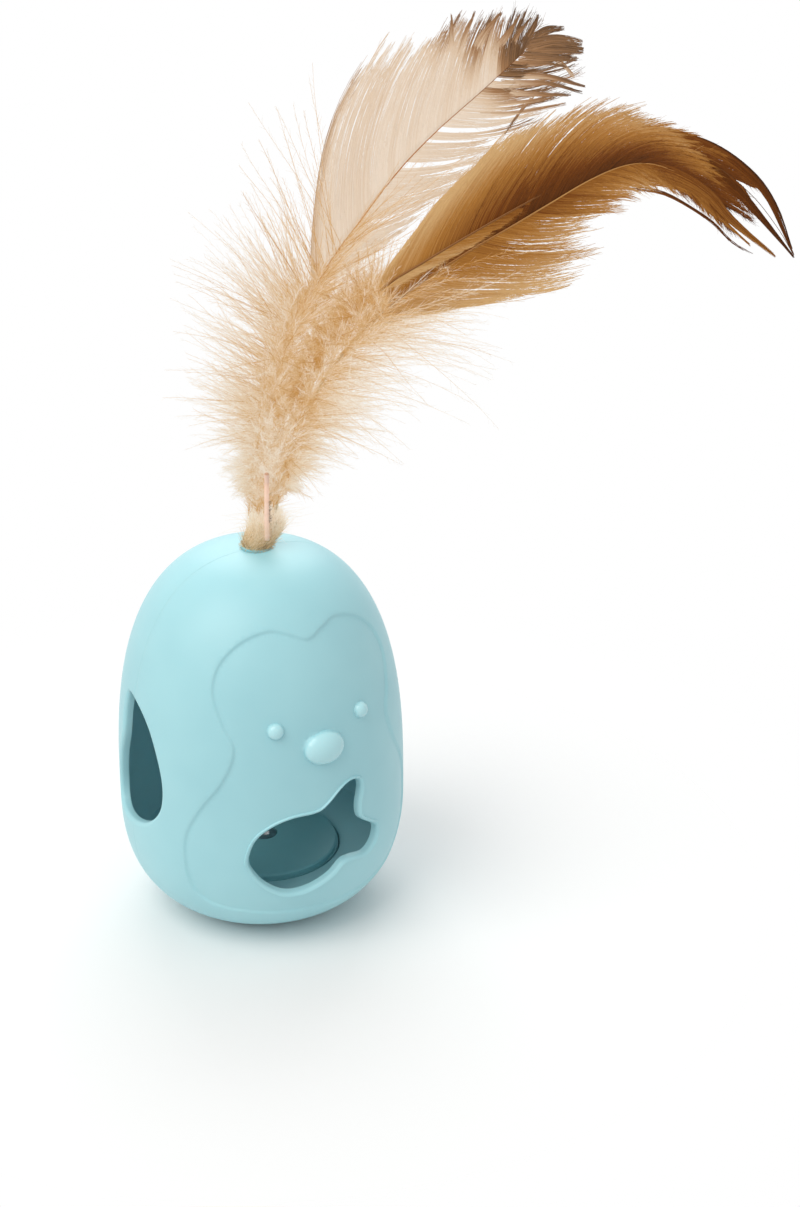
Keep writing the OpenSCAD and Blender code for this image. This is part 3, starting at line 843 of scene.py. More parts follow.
@dataclass(frozen=True)
class Lock:
    """A long lock of barbs that cling together past the vane and taper to a point.

    Attributes:
        path: (side, up) points that its middle passes through, in millimetres on the feather plane.
        base: Half width at its root.
        barbs: Number of barbs.
        tone: Tone at its root and at its tip.
        depth: Depth away from the viewer.
        blunt: Share of its width that it keeps to the end.
    """

    path: tuple[tuple[float, float], ...]
    base: float
    barbs: int
    tone: tuple[float, float]
    depth: float = 0.0
    blunt: float = 0.0

    def surface(self, plane: FeatherPlane, rng: np.random.Generator) -> Surface:
        """Barbs on the lock's path, held off it by base times (1 - u)^0.9, each of its own length.

        The roots start 1.6 mm deeper, so that the lock comes out from behind the vane.
        """
        line = curve_through(np.array(self.path, dtype=float), 16, closed=False)
        line = respaced(line, 0.3, closed=False)
        way = unit(np.gradient(line, axis=0))
        n, k = int(1.6 * self.barbs), 15
        v = np.linspace(0.0, 1.0, k)[None]
        first = 0.3 * rng.random((n, 1)) ** 1.5
        last = 1.0 - 0.4 * rng.random((n, 1)) ** 2.2
        u = first + (last - first) * v
        seat = np.linspace(0.0, 1.0, len(line))
        x, y, fx, fy = (np.interp(u, seat, column) for column in np.hstack([line, way]).T)
        held = rng.uniform(-1.0, 1.0, (n, 1))
        narrow = self.blunt + (1 - self.blunt) * (1 - u) ** 0.9
        off = held * self.base * narrow + 0.1 * np.sin(9 * u + rng.uniform(0, 6, (n, 1))) * u
        deep = self.depth + 1.6 * (1 - u) ** 4 + 0.5 * rng.normal(size=(n, 1)) * u
        path = plane.world(x - fy * off, y + fx * off, deep)
        wide = 0.06 * (1 - 0.75 * v**2) * rng.uniform(0.7, 1.2, (n, 1)) + 0.015
        tone = between(self.tone, u)
        tone = np.clip(tone + 0.12 * held * (1 - u) + 0.07 * rng.normal(size=(n, 1)), 0.0, 1.0)
        across = plane.way(-fy, fx, np.full(fx.shape, 0.3))
        return strands(path, wide, np.full((n, k), BARB_THICK), across, 3, tone=tone)


@dataclass
class Feather:
    """One feather: a tapered shaft through given points, flattened barbs, and long locks at its tip."""

    name: str
    knots: tuple[tuple[float, float], ...]
    depth: tuple[tuple[float, float], ...]
    camber: float
    left: VaneSide
    right: VaneSide
    locks: tuple[Lock, ...]
    fuzz: int
    plane: FeatherPlane
    seed: int

    def __post_init__(self) -> None:
        """Tabulates the shaft, and 15 mm straight past its end, by the length from that end."""
        line = curve_through(np.array(self.knots, dtype=float), 24, closed=False)
        line = respaced(line, 0.25, closed=False)
        ahead = unit(line[-1] - line[-6]) * 0.25
        line = np.vstack([line, line[-1] + ahead * np.arange(1, 61)[:, None]])
        run = np.concatenate([[0.0], np.cumsum(np.linalg.norm(np.diff(line, axis=0), axis=1))])
        self.length = float(run[-61])
        self.run = run - self.length
        place, deep = np.array(self.depth).T
        bend = np.interp(run / self.length, place, deep)
        bend = np.convolve(np.pad(bend, 20, mode="edge"), np.ones(41) / 41, mode="valid")
        self.table = np.column_stack([line, bend, unit(np.gradient(line, axis=0))])

    def at(self, t: np.ndarray) -> tuple[np.ndarray, ...]:
        """Side, up, depth and both parts of the shaft's direction at a share of its length."""
        return tuple(np.interp((t - 1) * self.length, self.run, column) for column in self.table.T)

    def on_vane(self, along: np.ndarray, off: np.ndarray) -> tuple[np.ndarray, ...]:
        """Side, up, shaft depth and shaft direction of points off the shaft, measured along it."""
        x, y, deep, fx, fy = (np.interp(along, self.run, column) for column in self.table.T)
        return x - fy * off, y + fx * off, deep, np.stack([fx, fy], axis=-1)

    def shaft(self) -> Surface:
        """The quill and shaft as one tube that thins to a hair at the tip."""
        t = np.linspace(0.0, 1.0, 110)
        x, y, deep, _, _ = self.at(t)
        path = self.plane.world(x, y, deep - 0.1)[None]
        radius = (0.42 * (1 - t) ** 2 + 0.09 * (1 - t) + 0.05)[None]
        across = self.plane.way(np.array([1.0]), np.array([0.0]), np.array([0.0]))
        return strands(path, radius, radius * 0.9, across, 10, tone=t[None])

    def vane(self, side: VaneSide, sign: float) -> tuple[Surface, Surface]:
        """The barbs of one side, laid out along and off the shaft so that they follow its bend.

        A barb runs off the shaft by width (1 - (1 - v)^1.25) and along it by run v^1.12, where run is
        the width over the tangent of its angle. Near its end it is drawn to the middle of its fine
        group, so that the edge is a fringe of points. Fuzz is short hairs that leave the barbs.

        Args:
            side: How the barbs stand.
            sign: 1 for the left of the shaft, -1 for the right.

        Returns:
            The ribbons and the fuzz, with a tone from 0 (pale) to 1 (dark).
        """
        rng = np.random.default_rng(self.seed + int(sign > 0))
        n, k = side.barbs, 14
        place, width = np.array(side.edge).T
        ends = np.linspace(place[0], place[-1], 500)
        lean = np.radians(np.interp(np.linspace(0, 1, 500), (0.0, 0.5, 1.0), side.angle))
        feet = ends - np.interp(ends, place, width) / np.tan(lean)
        feet = np.maximum.accumulate(np.minimum(feet, -0.3 - 0.6 * (place[-1] - ends)))
        gap = (feet[-1] - feet[0]) / n
        root = feet[0] + gap * (np.arange(n) + rng.uniform(0.1, 0.9, n))
        finish = np.interp(root, feet + 1e-6 * np.arange(500), ends)
        off = np.interp(finish, place, width)
        share = np.linspace(0.0, 1.0, n)
        tip = ease(share, 0.5, 0.95)
        ragged, slit = between(side.ragged, tip), between(side.slit, tip)
        fine, coarse = runs(between(side.fine, tip), rng), runs(between(side.coarse, tip), rng)
        count = int(fine.max()) + 1
        middle = np.bincount(fine, root, count) / np.maximum(np.bincount(fine, minlength=count), 1)
        shift, grow, lift = rng.normal(size=(3, count))[:, fine]
        part, step, shade = rng.normal(size=(3, int(coarse.max()) + 1))[:, coarse]
        long = 1 + ragged * (0.6 * grow + 0.55 * step + 0.5 * rng.normal(size=n) - 0.2)
        long = np.clip(long, 0.4, 1.3)[:, None]
        v = np.linspace(0.0, 1.0, k)[None]
        out = off[:, None] * long * (1 - (1 - v) ** 1.25)
        ahead = (finish - root)[:, None] * long * v**1.12
        ahead = ahead + 0.85 * (middle[fine] - root)[:, None] * v**5
        ahead = ahead + (slit * np.clip(part, -1.5, 1.5))[:, None] * v**1.8
        ahead = ahead + (0.45 * slit * shift)[:, None] * v**3
        spread = 0.12 * np.sin(v * rng.uniform(3, 9, (n, 1)) + rng.uniform(0, 6, (n, 1))) * v
        x, y, deep, f = self.on_vane(root[:, None] + ahead, sign * (out + spread))
        swell = np.clip(off / width.max(), 0.2, 1.0)[:, None]
        deep = (
            deep
            + self.camber * swell * v**1.7
            + (0.15 + 0.5 * tip)[:, None] * lift[:, None] * v**2
            + 0.12 * rng.normal(size=(n, 1)) * v
        )
        path = self.plane.world(x, y, deep)
        wide = 0.5 * side.cover * gap * (1 - 0.82 * v**3) * rng.uniform(0.8, 1.2, (n, 1)) + 0.02
        tilt = self.plane.way(f[..., 0], f[..., 1], np.full(f.shape[:2], 0.25))
        base, edge, end = side.tone
        dark = ease(root[:, None] + ahead + 2.5 * part[:, None], *side.dark)
        tone = base + (edge - base) * v**1.3 + 0.04 * shade[:, None] + 0.06 * rng.normal(size=(n, 1))
        tone = tone * (1 - dark) + (end + 0.08 * shade[:, None] + 0.06 * rng.normal(size=(n, 1))) * dark
        shade = side.rim * np.clip(1 - share / 0.08, 0, 1) - side.foot * (1 - ease(share, 0.0, 0.5))
        tone = np.clip(tone + shade[:, None], 0.0, 1.0)
        keep = np.flatnonzero((rng.random(count) >= side.thin)[fine])
        thick = np.full((len(keep), k), BARB_THICK)
        barbs = strands(path[keep], wide[keep], thick, tilt[keep], 3, tone=tone[keep])
        who, where = rng.choice(keep, self.fuzz), rng.integers(2, k - 1, self.fuzz)
        start = path[who, where]
        aim = unit(path[who, where] - path[who, where - 1]) + 0.22 * rng.normal(size=(self.fuzz, 3))
        none = np.zeros(self.fuzz)
        aim = aim + 0.12 * self.plane.way(none, none, none - 1)
        reach = rng.uniform(0.9, 2.6, (self.fuzz, 1))
        hair = np.stack([start, start + unit(aim) * reach], axis=1)
        thin = np.repeat(np.array([[0.035, 0.012]]), self.fuzz, axis=0)
        pale = np.clip(tone[who, where] + rng.uniform(-0.12, 0.1, self.fuzz), 0, 1)
        pale = pale[:, None].repeat(2, axis=1)
        return barbs, hairs(hair, thin, pale, rng)


@dataclass(frozen=True)
class DownPatch:
    """A patch of down on one shaft.

    Attributes:
        feather: Which shaft it grows on.
        span: Where, as shares of the shaft's length.
        stalks: Number of stalks.
        side: -1 for the left, 1 for the right, 0 for both.
        rise: Degrees above level at the foot and at the top of the span.
        scatter: Scatter of those degrees.
        reach: Length in millimetres at the foot and at the top of the span.
        front: Share of the stalks that lean towards the viewer.
        sag: Drop of the end as a share of the length.
        tone: Tone at the stalks' roots and at their ends; the darker roots are partly the down's golden core
            and partly painted shade deep in the down.
    """

    feather: int
    span: tuple[float, float]
    stalks: int
    side: float
    rise: tuple[float, float]
    scatter: float
    reach: tuple[float, float]
    front: float
    sag: float
    tone: tuple[float, float]


@dataclass
class Down:
    """Loose down round the shafts: long fine stalks, each with rows of much finer hairs.

    Attributes:
        feathers: The feathers whose shafts carry it.
        plane: The feathers' plane.
        seed: Seed of its random draws.
        hairs: Hairs on a stalk.
        pieces: Pieces that the hairs are split into.
        quill_side: Sideways place of the cut quill, which no stalk may hide.
        quill_half: Half width of the strip that stays clear round it.
        quill_up: Lower and upper end of that strip, as the photograph's view shows it.
        quill_depth: Stalks in front of this depth count as in front of the quill.
        view_slope: Rise on the plane that stands for a step in depth in that view.
        patches: Where the down grows.
    """

    feathers: list[Feather]
    plane: FeatherPlane
    seed: int = 11
    hairs: int = 38
    pieces: int = 4
    quill_side: float = 2.6
    quill_half: float = 1.1
    quill_up: tuple[float, float] = (1.0, 14.4)
    quill_depth: float = -2.2
    view_slope: float = 0.41
    patches: tuple[DownPatch, ...] = (
        DownPatch(0, (0.07, 0.24), 190, -1, (8, 26), 13, (5, 19), 0.5, 0.05, (0.3, 0.85)),
        DownPatch(0, (0.2, 0.44), 210, -1, (24, 46), 14, (18, 27), 0.5, 0.03, (0.25, 0.85)),
        DownPatch(0, (0.38, 0.56), 60, -1, (55, 76), 7, (22, 33), 0.5, 0.0, (0.35, 0.6)),
        DownPatch(1, (0.06, 0.2), 160, 1, (14, 6), 13, (5, 21), 0.5, 0.06, (0.3, 0.85)),
        DownPatch(1, (0.17, 0.36), 220, 1, (6, 6), 12, (20, 30), 0.5, 0.1, (0.35, 0.95)),
        DownPatch(1, (0.3, 0.47), 90, 1, (8, 16), 8, (22, 24), 0.1, 0.08, (0.25, 0.7)),
        DownPatch(2, (0.13, 0.36), 380, 0, (52, 58), 26, (6, 12), 0.97, 0.0, (0.0, 0.32)),
        DownPatch(2, (0.05, 0.38), 220, 0, (58, 62), 26, (7, 13), 0.05, 0.0, (0.3, 0.7)),
        DownPatch(0, (0.14, 0.48), 240, 1, (48, 52), 14, (7, 16), 0.5, 0.0, (0.15, 0.5)),
        DownPatch(0, (0.03, 0.4), 200, 0, (72, 70), 16, (7, 13), 0.95, 0.0, (0.25, 0.75)),
        DownPatch(1, (0.03, 0.38), 220, 0, (72, 60), 18, (7, 13), 0.95, 0.0, (0.2, 0.7)),
        DownPatch(2, (0.02, 0.13), 280, 0, (64, 50), 14, (5, 13), 0.8, 0.0, (0.5, 0.95)),
        DownPatch(0, (0.34, 0.58), 110, 1, (34, 44), 7, (20, 32), 0.5, 0.0, (0.3, 0.55)),
    )

    def surfaces(self) -> list[Surface]:
        """Grows the stalks from the shafts and the hairs from the stalks.

        A stalk leaves its shaft sideways at its patch's rise, is slightly bowed, and sinks at its end;
        hairs leave it at about 25 degrees all round, thin out and shorten towards its end. Stalks that
        would hang in front of the cut quill are left out.

        Returns:
            The stalks, then the hairs in parts, with a tone from 0 (core) to 1 (loose ends); the darker core
            is partly the down's own gold and partly painted shade deep in the down.
        """
        rng = np.random.default_rng(self.seed)
        k = 9
        v = np.linspace(0, 1, k)[None, :, None]
        paths, shades = [], []
        for patch in self.patches:
            n = patch.stalks
            share = rng.random(n)
            x, y, deep, _, _ = self.feathers[patch.feather].at(between(patch.span, share))
            hand = np.where(rng.random(n) < 0.5, -1.0, 1.0) if patch.side == 0 else np.full(n, patch.side)
            rise = np.radians(between(patch.rise, share) + patch.scatter * rng.normal(size=n))
            swing = np.abs(rng.normal(0, 0.55, n)) * np.where(rng.random(n) < patch.front, -1.0, 1.0)
            level = np.cos(rise)
            aim = np.stack([hand * level * np.cos(swing), np.sin(rise), level * np.sin(swing)], axis=1)
            length = between(patch.reach, share) * rng.uniform(0.45, 1.08, n)
            bow = rng.normal(size=(n, 1, 3)) * np.array([0.08, 0.1, 0.1])
            fall = np.array([0.0, -1.0, 0.0]) * patch.sag * rng.uniform(0.4, 1.6, (n, 1, 1))
            wave = 0.012 * np.sin(v * rng.uniform(4, 9, (n, 1, 1)) + rng.uniform(0, 6, (n, 1, 3))) * v
            walk = aim[:, None, :] * v + bow * v**2 * (1 - 0.3 * v) + fall * v**2.2 + wave
            place = walk * length[:, None, None] + np.stack([x, y, deep], axis=1)[:, None, :]
            if patch.side == 0:
                shift = np.stack([hand * 2 * rng.random(n), 0 * hand, 0.3 + rng.random(n)], axis=1)
                place = place - shift[:, None, :]
            side, up, depth = np.moveaxis(place, -1, 0)
            seen = up + self.view_slope * depth
            hides = (np.abs(side - self.quill_side) < self.quill_half) & (depth < self.quill_depth)
            hides &= (seen > self.quill_up[0]) & (seen < self.quill_up[1])
            clear = ~hides.any(axis=1)
            paths.append(self.plane.world(side, up, depth)[clear])
            # Darker towards the roots: partly the down's golden core, partly painted shade deep in the down,
            # where the hairs cast no shadow
            tone = between(patch.tone, v[..., 0] ** 0.8)
            shades.append((tone + 0.1 * rng.normal(size=(n, 1)))[clear])
        path, shade = np.concatenate(paths), np.concatenate(shades)
        n = len(path)
        size = tapered(k, rng.uniform(0.045, 0.085, (n, 1)))
        stalks = hairs(path, size, np.clip(shade - 0.25, 0, 1), rng)
        m = self.hairs
        at = np.clip(((np.arange(m)[None, :] + rng.random((n, m))) / m) ** 1.25, 0.01, 0.99)
        cell = at * (k - 1)
        low = np.minimum(cell.astype(int), k - 2)
        part = (cell - low)[..., None]
        who = np.arange(n)[:, None]
        root = path[who, low] * (1 - part) + path[who, low + 1] * part
        along = unit(path[who, low + 1] - path[who, low])
        flank = rng.normal(size=(n, m, 3))
        flank = unit(flank - np.sum(flank * along, axis=2, keepdims=True) * along)
        lean = np.radians(rng.uniform(12, 42, (n, m)))[..., None]
        way = along * np.cos(lean) + flank * np.sin(lean)
        reach = (0.7 + 2.6 * (1 - at) ** 0.6 * rng.uniform(0.5, 1.25, (n, m)))[..., None, None]
        w = np.array([0.0, 1.0])[None, None, :, None]
        hair = (root[:, :, None, :] + reach * way[:, :, None, :] * w).reshape(n * m, 2, 3)
        fine = np.repeat(np.array([[0.027, 0.01]]), n * m, axis=0)
        tone = shade[who, low] * (1 - part[..., 0]) + shade[who, low + 1] * part[..., 0]
        tone = np.clip(tone + 0.08 * rng.normal(size=(n, m)), 0, 1).reshape(-1, 1).repeat(2, axis=1)
        parts = np.array_split(np.arange(n * m), self.pieces)
        turned = flank.reshape(-1, 3)
        return [stalks] + [strands(hair[p], fine[p], fine[p], turned[p], 3, tone=tone[p]) for p in parts]


@dataclass
class Tuft:
    """The fuzzy collar round the bound quills: a short brush of upright hairs with a few loose ones."""

    plane: FeatherPlane
    seed: int = 5
    count: int = 2300
    foot: int = 460
    loose: int = 110
    foot_z: float = 80.75
    skirt_z: float = 80.6

    def surface(self) -> Surface:
        """Hairs that rise from the winding's foot to odd heights, a skirt and loose wisps."""
        rng = np.random.default_rng(self.seed)
        n, k = self.count, 6
        turn = rng.uniform(0, 2 * np.pi, n)
        out = np.stack([np.cos(turn), np.sin(turn), np.zeros(n)], axis=1)
        around = np.stack([-np.sin(turn), np.cos(turn), np.zeros(n)], axis=1)
        inner = rng.random(n) < 0.4
        low = np.where(inner, rng.uniform(84.0, 86.2, n), self.foot_z + 4.2 * rng.random(n) ** 1.6)
        high = rng.uniform(1.2, 4.2, n) + np.where(rng.random(n) < 0.2, rng.uniform(0.5, 3.0, n), 0.0)
        v = np.linspace(0, 1, k)[None]
        start = np.where(inner, rng.uniform(0.3, 2.5, n), rng.uniform(2.65, 3.0, n))[:, None]
        lean = rng.normal(0.25, 0.65, (n, 1))
        bulge = start + lean * v**1.4 + 0.2 * np.sin(np.pi * v)
        bulge = np.where(inner[:, None], np.abs(bulge), np.maximum(bulge, 2.6))
        drift = rng.normal(0, 1.6, (n, 1)) * v**1.2
        path = out[:, None, :] * bulge[..., None] + around[:, None, :] * drift[..., None]
        path[..., 2] = low[:, None] + high[:, None] * v
        # Darker towards the foot: partly the fuzz's own brown, partly painted shade where the collar meets
        # the shell
        rise = (path[..., 2] - self.foot_z) / 6.0
        shade = 0.12 * np.sin(5 * turn + 1.0) + 0.1 * np.sin(13 * turn)
        tone = np.clip(0.24 + 0.62 * rise + shade[:, None] + 0.16 * rng.normal(size=(n, 1)), 0, 1)
        path = path + self.plane.lean(path[..., 2])
        brush = hairs(path, tapered(k, rng.uniform(0.04, 0.07, (n, 1))), tone, rng)
        m = self.foot
        turn = rng.uniform(0, 2 * np.pi, m)[:, None]
        far = 2.7 + rng.uniform(0.5, 1.3, (m, 1)) * v
        tall = rng.uniform(self.skirt_z, 81.8, (m, 1)) + rng.uniform(-0.5, 0.3, (m, 1)) * v
        tall = np.maximum(tall, self.skirt_z + 0.1 * rng.random((m, 1)))
        swirl = turn + rng.normal(0, 0.25, (m, 1)) * v
        skirt = np.stack([far * np.cos(swirl), far * np.sin(swirl), tall], axis=-1)
        skirt = skirt + self.plane.lean(skirt[..., 2])
        # The skirt is dark, partly painted shade where it meets the shell
        tone = np.clip(rng.normal(0.36, 0.16, (m, 1)), 0, 1) * np.ones((1, k))
        brim = hairs(skirt, tapered(k, np.full((m, 1), 0.04)), tone, rng)
        m, k = self.loose, 8
        spin = rng.normal(0.0, 0.8, m) + np.where(rng.random(m) < 0.3, np.pi, 0.0)
        v = np.linspace(0, 1, k)[None]
        reach = 1.6 + 7.0 * rng.random((m, 1)) ** 1.6
        side = 2.0 + np.cos(spin)[:, None] * (2.3 + reach * v)
        deep = np.sin(spin)[:, None] * (2.3 + reach * v)
        up = rng.uniform(2.0, 7.0, (m, 1)) + rng.uniform(0.0, 0.55, (m, 1)) * reach * v
        up = up - rng.uniform(0.0, 0.35, (m, 1)) * reach * v**2
        hair = self.plane.world(side, up, deep)
        pale = hairs(hair, tapered(k, np.full((m, 1), 0.036)), np.full((m, k), 0.95), rng)
        return Surface.joined([brush, brim, pale])


@dataclass
class CutQuill:
    """The short stub of a cut quill, with dark stubble on one flank."""

    plane: FeatherPlane
    seed: int = 8

    def surface(self) -> Surface:
        """A hollow tube with a slanting cut, and rows of short bristles on its right."""
        rng = np.random.default_rng(self.seed)
        up = np.concatenate([np.linspace(1.4, 15.6, 24), [15.9, 16.0, 15.95, 15.2, 13.8]])
        path = self.plane.world(2.45 + 0.018 * (up - 1.4), up, -2.95 - 0.25 * ease(up, 1.0, 6.0))[None]
        radius = np.concatenate([np.linspace(0.54, 0.47, 24), [0.45, 0.4, 0.34, 0.3, 0.24]])[None]
        side = self.plane.way(np.array([1.0]), np.array([0.0]), np.array([0.0]))
        tone = np.concatenate([0.15 * rng.random(24), np.full(5, 0.5)])[None]
        tube = strands(path, radius, radius, side, 14, tone=tone)
        n, k = 56, 4
        at = rng.uniform(4.8, 11.5, n)
        spin = rng.normal(-0.15, 0.35, n)
        out = self.plane.way(np.cos(spin), rng.uniform(0.5, 1.3, n), np.sin(spin))
        root = self.plane.world(2.5 + 0.45 * np.cos(spin), at, -3.15 + 0.45 * np.sin(spin))
        v = np.linspace(0, 1, k)[None, :, None]
        reach = rng.uniform(0.4, 1.1, n)[:, None, None]
        bend = 0.1 * rng.normal(size=(n, 1, 3)) * v**2
        hair = root[:, None, :] + reach * unit(out)[:, None, :] * v + bend
        stubble = hairs(hair, tapered(k, np.full((n, 1), 0.04)), np.full((n, k), 0.95), rng)
        return Surface.joined([tube, stubble])


@dataclass
class Winding:
    """Thread wound round the quills' roots as one unbroken coil."""

    plane: FeatherPlane
    radius: float = 2.3
    thread: float = 0.2
    turns: int = 12
    low: float = 82.25
    pitch: float = 0.37

    def surface(self) -> Surface:
        """A helix of circles whose height grows by the pitch in each turn, leaning with the quills."""
        turn = np.linspace(0, 2 * np.pi * self.turns, self.turns * 30)
        height = self.low + self.pitch * turn / (2 * np.pi)
        path = np.stack([self.radius * np.cos(turn), self.radius * np.sin(turn), height], axis=1)
        path = (path + self.plane.lean(path[:, 2]))[None]
        size = np.full((1, len(turn)), self.thread)
        up = np.array([[0.0, 0.0, 1.0]])
        return strands(path, size, size, up, 8, tone=np.full((1, len(turn)), 0.5))


@dataclass(frozen=True)
class PlasticFinish:
    """Satin injection-moulded plastic: one even colour with faint clouding and a fine spark grain; where a
    highlight colour is given, a paler colour is painted as a highlight on the eyes and beak, which are also
    less rough.
    """

    name: str
    low: str
    high: str
    roughness: float
    # Paler colour painted on the eyes and beak as a highlight; empty for none
    painted_highlight: str = ""
    glossy_roughness: float = 0.16

    def material(self):
        """Builds the material on Object coordinates; the gloss attribute on the eyes and beak lowers the
        roughness and mixes in the painted highlight colour.
        """
        made, tree, body = new_material(
            self.name,
            Roughness=self.roughness,
            Specular_IOR_Level=0.45,
            Subsurface_Weight=0.12,
            Subsurface_Radius=(0.6, 1.0, 1.1),
            Subsurface_Scale=0.0015,
        )
        colour = clouded(tree, 0.018, 2.0, self.low, self.high)
        if self.painted_highlight:
            # Painted highlight: the attribute mixes in the paler colour and lowers the roughness
            gloss_and_painted_highlight = add_node(tree, "ShaderNodeAttribute", attribute_name="gloss_and_painted_highlight").outputs["Fac"]
            links = {"Fac": gloss_and_painted_highlight, "Color1": colour}
            mix = add_node(tree, "ShaderNodeMixRGB", {"Color2": srgb(self.painted_highlight)}, links)
            colour = mix.outputs["Color"]
            values = {"To Min": self.roughness, "To Max": self.glossy_roughness}
            smooth = add_node(tree, "ShaderNodeMapRange", values, {"Value": gloss_and_painted_highlight})
            tree.links.new(smooth.outputs["Result"], body.inputs["Roughness"])
        tree.links.new(colour, body.inputs["Base Color"])
        roughen(tree, body, 0.0004, 1.0, 0.12, 0.00004)
        return made


@dataclass(frozen=True)
class SteelFinish:
    """Zinc-plated steel: grey metal with a cloudy, slightly uneven polish."""

    name: str
    low: str
    high: str

    def material(self):
        """Builds the material on Object coordinates."""
        made, tree, body = new_material(self.name, Metallic=1.0, Roughness=0.38)
        colour = clouded(tree, 0.0015, 3.0, self.low, self.high)
        tree.links.new(colour, body.inputs["Base Color"])
        return made


@dataclass(frozen=True)
class BarbFinish:
    """Keratin barbs and hairs: a soft, dull sheen, coloured from root to tip by the piece's tone."""

    name: str
    stops: tuple[tuple[float, str], ...]
    roughness: float = 0.6
    sheen: float = 0.25
    through: float = 0.0

    def material(self):
        """Builds the material on the tone attribute, with a fine relief on the fibres."""
        made, tree, body = new_material(
            self.name,
            Roughness=self.roughness,
            Specular_IOR_Level=0.16,
            Sheen_Weight=self.sheen,
        )
        tone = add_node(tree, "ShaderNodeAttribute", attribute_name="tone").outputs["Fac"]
        ramp = add_node(tree, "ShaderNodeValToRGB", None, {"Fac": tone}, self.stops)
        colour = ramp.outputs["Color"]
        tree.links.new(colour, body.inputs["Base Color"])
        if self.through:
            glow = add_node(tree, "ShaderNodeBsdfTranslucent", None, {"Color": colour})
            links = {1: body.outputs["BSDF"], 2: glow.outputs["BSDF"]}
            both = add_node(tree, "ShaderNodeMixShader", {0: self.through}, links)
            tree.links.new(both.outputs["Shader"], tree.nodes["Material Output"].inputs["Surface"])
        roughen(tree, body, 0.0006, 2.0, 0.2, 0.00005)
        return made


class Finishes(Enum):
    """The finishes in use."""

    # Pale aqua moulded plastic, satin, so the key light spreads to a broad soft highlight; the eyes and beak
    # get a painted highlight in a paler aqua, with less roughness
    SHELL = PlasticFinish("satin_moulded_aqua_plastic", "#9ED0D8", "#A5D6DD", 0.42, "#B3E0E6")
    # The same plastic a shade deeper for the base plug and the crest plug
    BASE = PlasticFinish("satin_moulded_deep_aqua_plastic", "#7DB8C0", "#86C0C8", 0.45)
    # Plated steel for the weight, the screw and the washer
    STEEL = SteelFinish("zinc_plated_steel", "#A3A5A8", "#BEC0C2")
    # Horny pale shaft that darkens to orange brown
    QUILL_A = BarbFinish(
        "horny_quill_pale",
        ((0.0, "#E3CFB6"), (0.4, "#C68446"), (0.8, "#AC6627"), (1.0, "#6B3E1C")),
        roughness=0.35, sheen=0.0,
    )  # fmt: skip
    # Tan shaft of the brown feathers
    QUILL_B = BarbFinish(
        "horny_quill_tan",
        ((0.0, "#E6CDA8"), (0.27, "#C39A66"), (0.38, "#8A5A2C"), (0.54, "#93622F"), (0.66, "#B28248"),
         (0.8, "#A9753D"), (1.0, "#6B4423")),
        roughness=0.35, sheen=0.0,
    )  # fmt: skip
    # Dark brown shaft of the feather behind
    QUILL_C = BarbFinish(
        "horny_quill_brown",
        ((0.0, "#E0C298"), (0.26, "#C79D68"), (0.36, "#8A5A2C"), (0.7, "#6E4420"), (1.0, "#543218")),
        roughness=0.35, sheen=0.0,
    )  # fmt: skip
    # Pinkish pale stub with dark stubble
    STUB = BarbFinish(
        "horny_quill_cut",
        ((0.0, "#FFEADB"), (0.3, "#F5D2B8"), (0.6, "#CFA17E"), (1.0, "#5A4331")),
        roughness=0.4, sheen=0.0, through=0.4,
    )  # fmt: skip
    # Pale pinkish-tan vane with a dark brown tip
    VANE_A = BarbFinish(
        "feather_barbs_pale_tan",
        ((0.0, "#E8D6C3"), (0.3, "#D8BC9F"), (0.6, "#A07650"), (1.0, "#4E341E")),
        roughness=0.6, sheen=0.1, through=0.5,
    )  # fmt: skip
    # Dense golden-brown vane with paler edges
    VANE_B = BarbFinish(
        "feather_barbs_golden_brown",
        ((0.0, "#CEA571"), (0.35, "#A87132"), (0.65, "#703C11"), (1.0, "#3B1F0B")),
        roughness=0.6, sheen=0.0, through=0.4,
    )  # fmt: skip
    # Cream down over a golden core, which is partly painted shade deep in the down
    DOWN = BarbFinish(
        "loose_cream_down",
        ((0.0, "#BE8236"), (0.3, "#D9AB72"), (0.65, "#EFDCC4"), (1.0, "#F8EEE2")),
        roughness=0.7, sheen=0.08, through=0.5,
    )  # fmt: skip
    # Brown fuzz of trimmed barbs, dark at its foot, partly painted shade where the collar meets the shell
    TUFT = BarbFinish(
        "trimmed_barb_fuzz",
        ((0.0, "#806040"), (0.3, "#D0A97A"), (0.65, "#EDCFA8"), (1.0, "#FBEBD6")),
        roughness=0.75, sheen=0.1, through=0.45,
    )  # fmt: skip
    # Waxed natural thread
    THREAD = BarbFinish("waxed_thread", ((0.0, "#CDB68F"), (1.0, "#E0CCA8")), 0.6, 0.1)


CAD_FINISHES = {
    "base_cap": Finishes.BASE,
    "weight_cover": Finishes.BASE,
    "crest_plug": Finishes.BASE,
    "ballast": Finishes.STEEL,
    "cover_screw": Finishes.STEEL,
    "crest_clip": Finishes.STEEL,
    "quill_root": Finishes.QUILL_B,
}


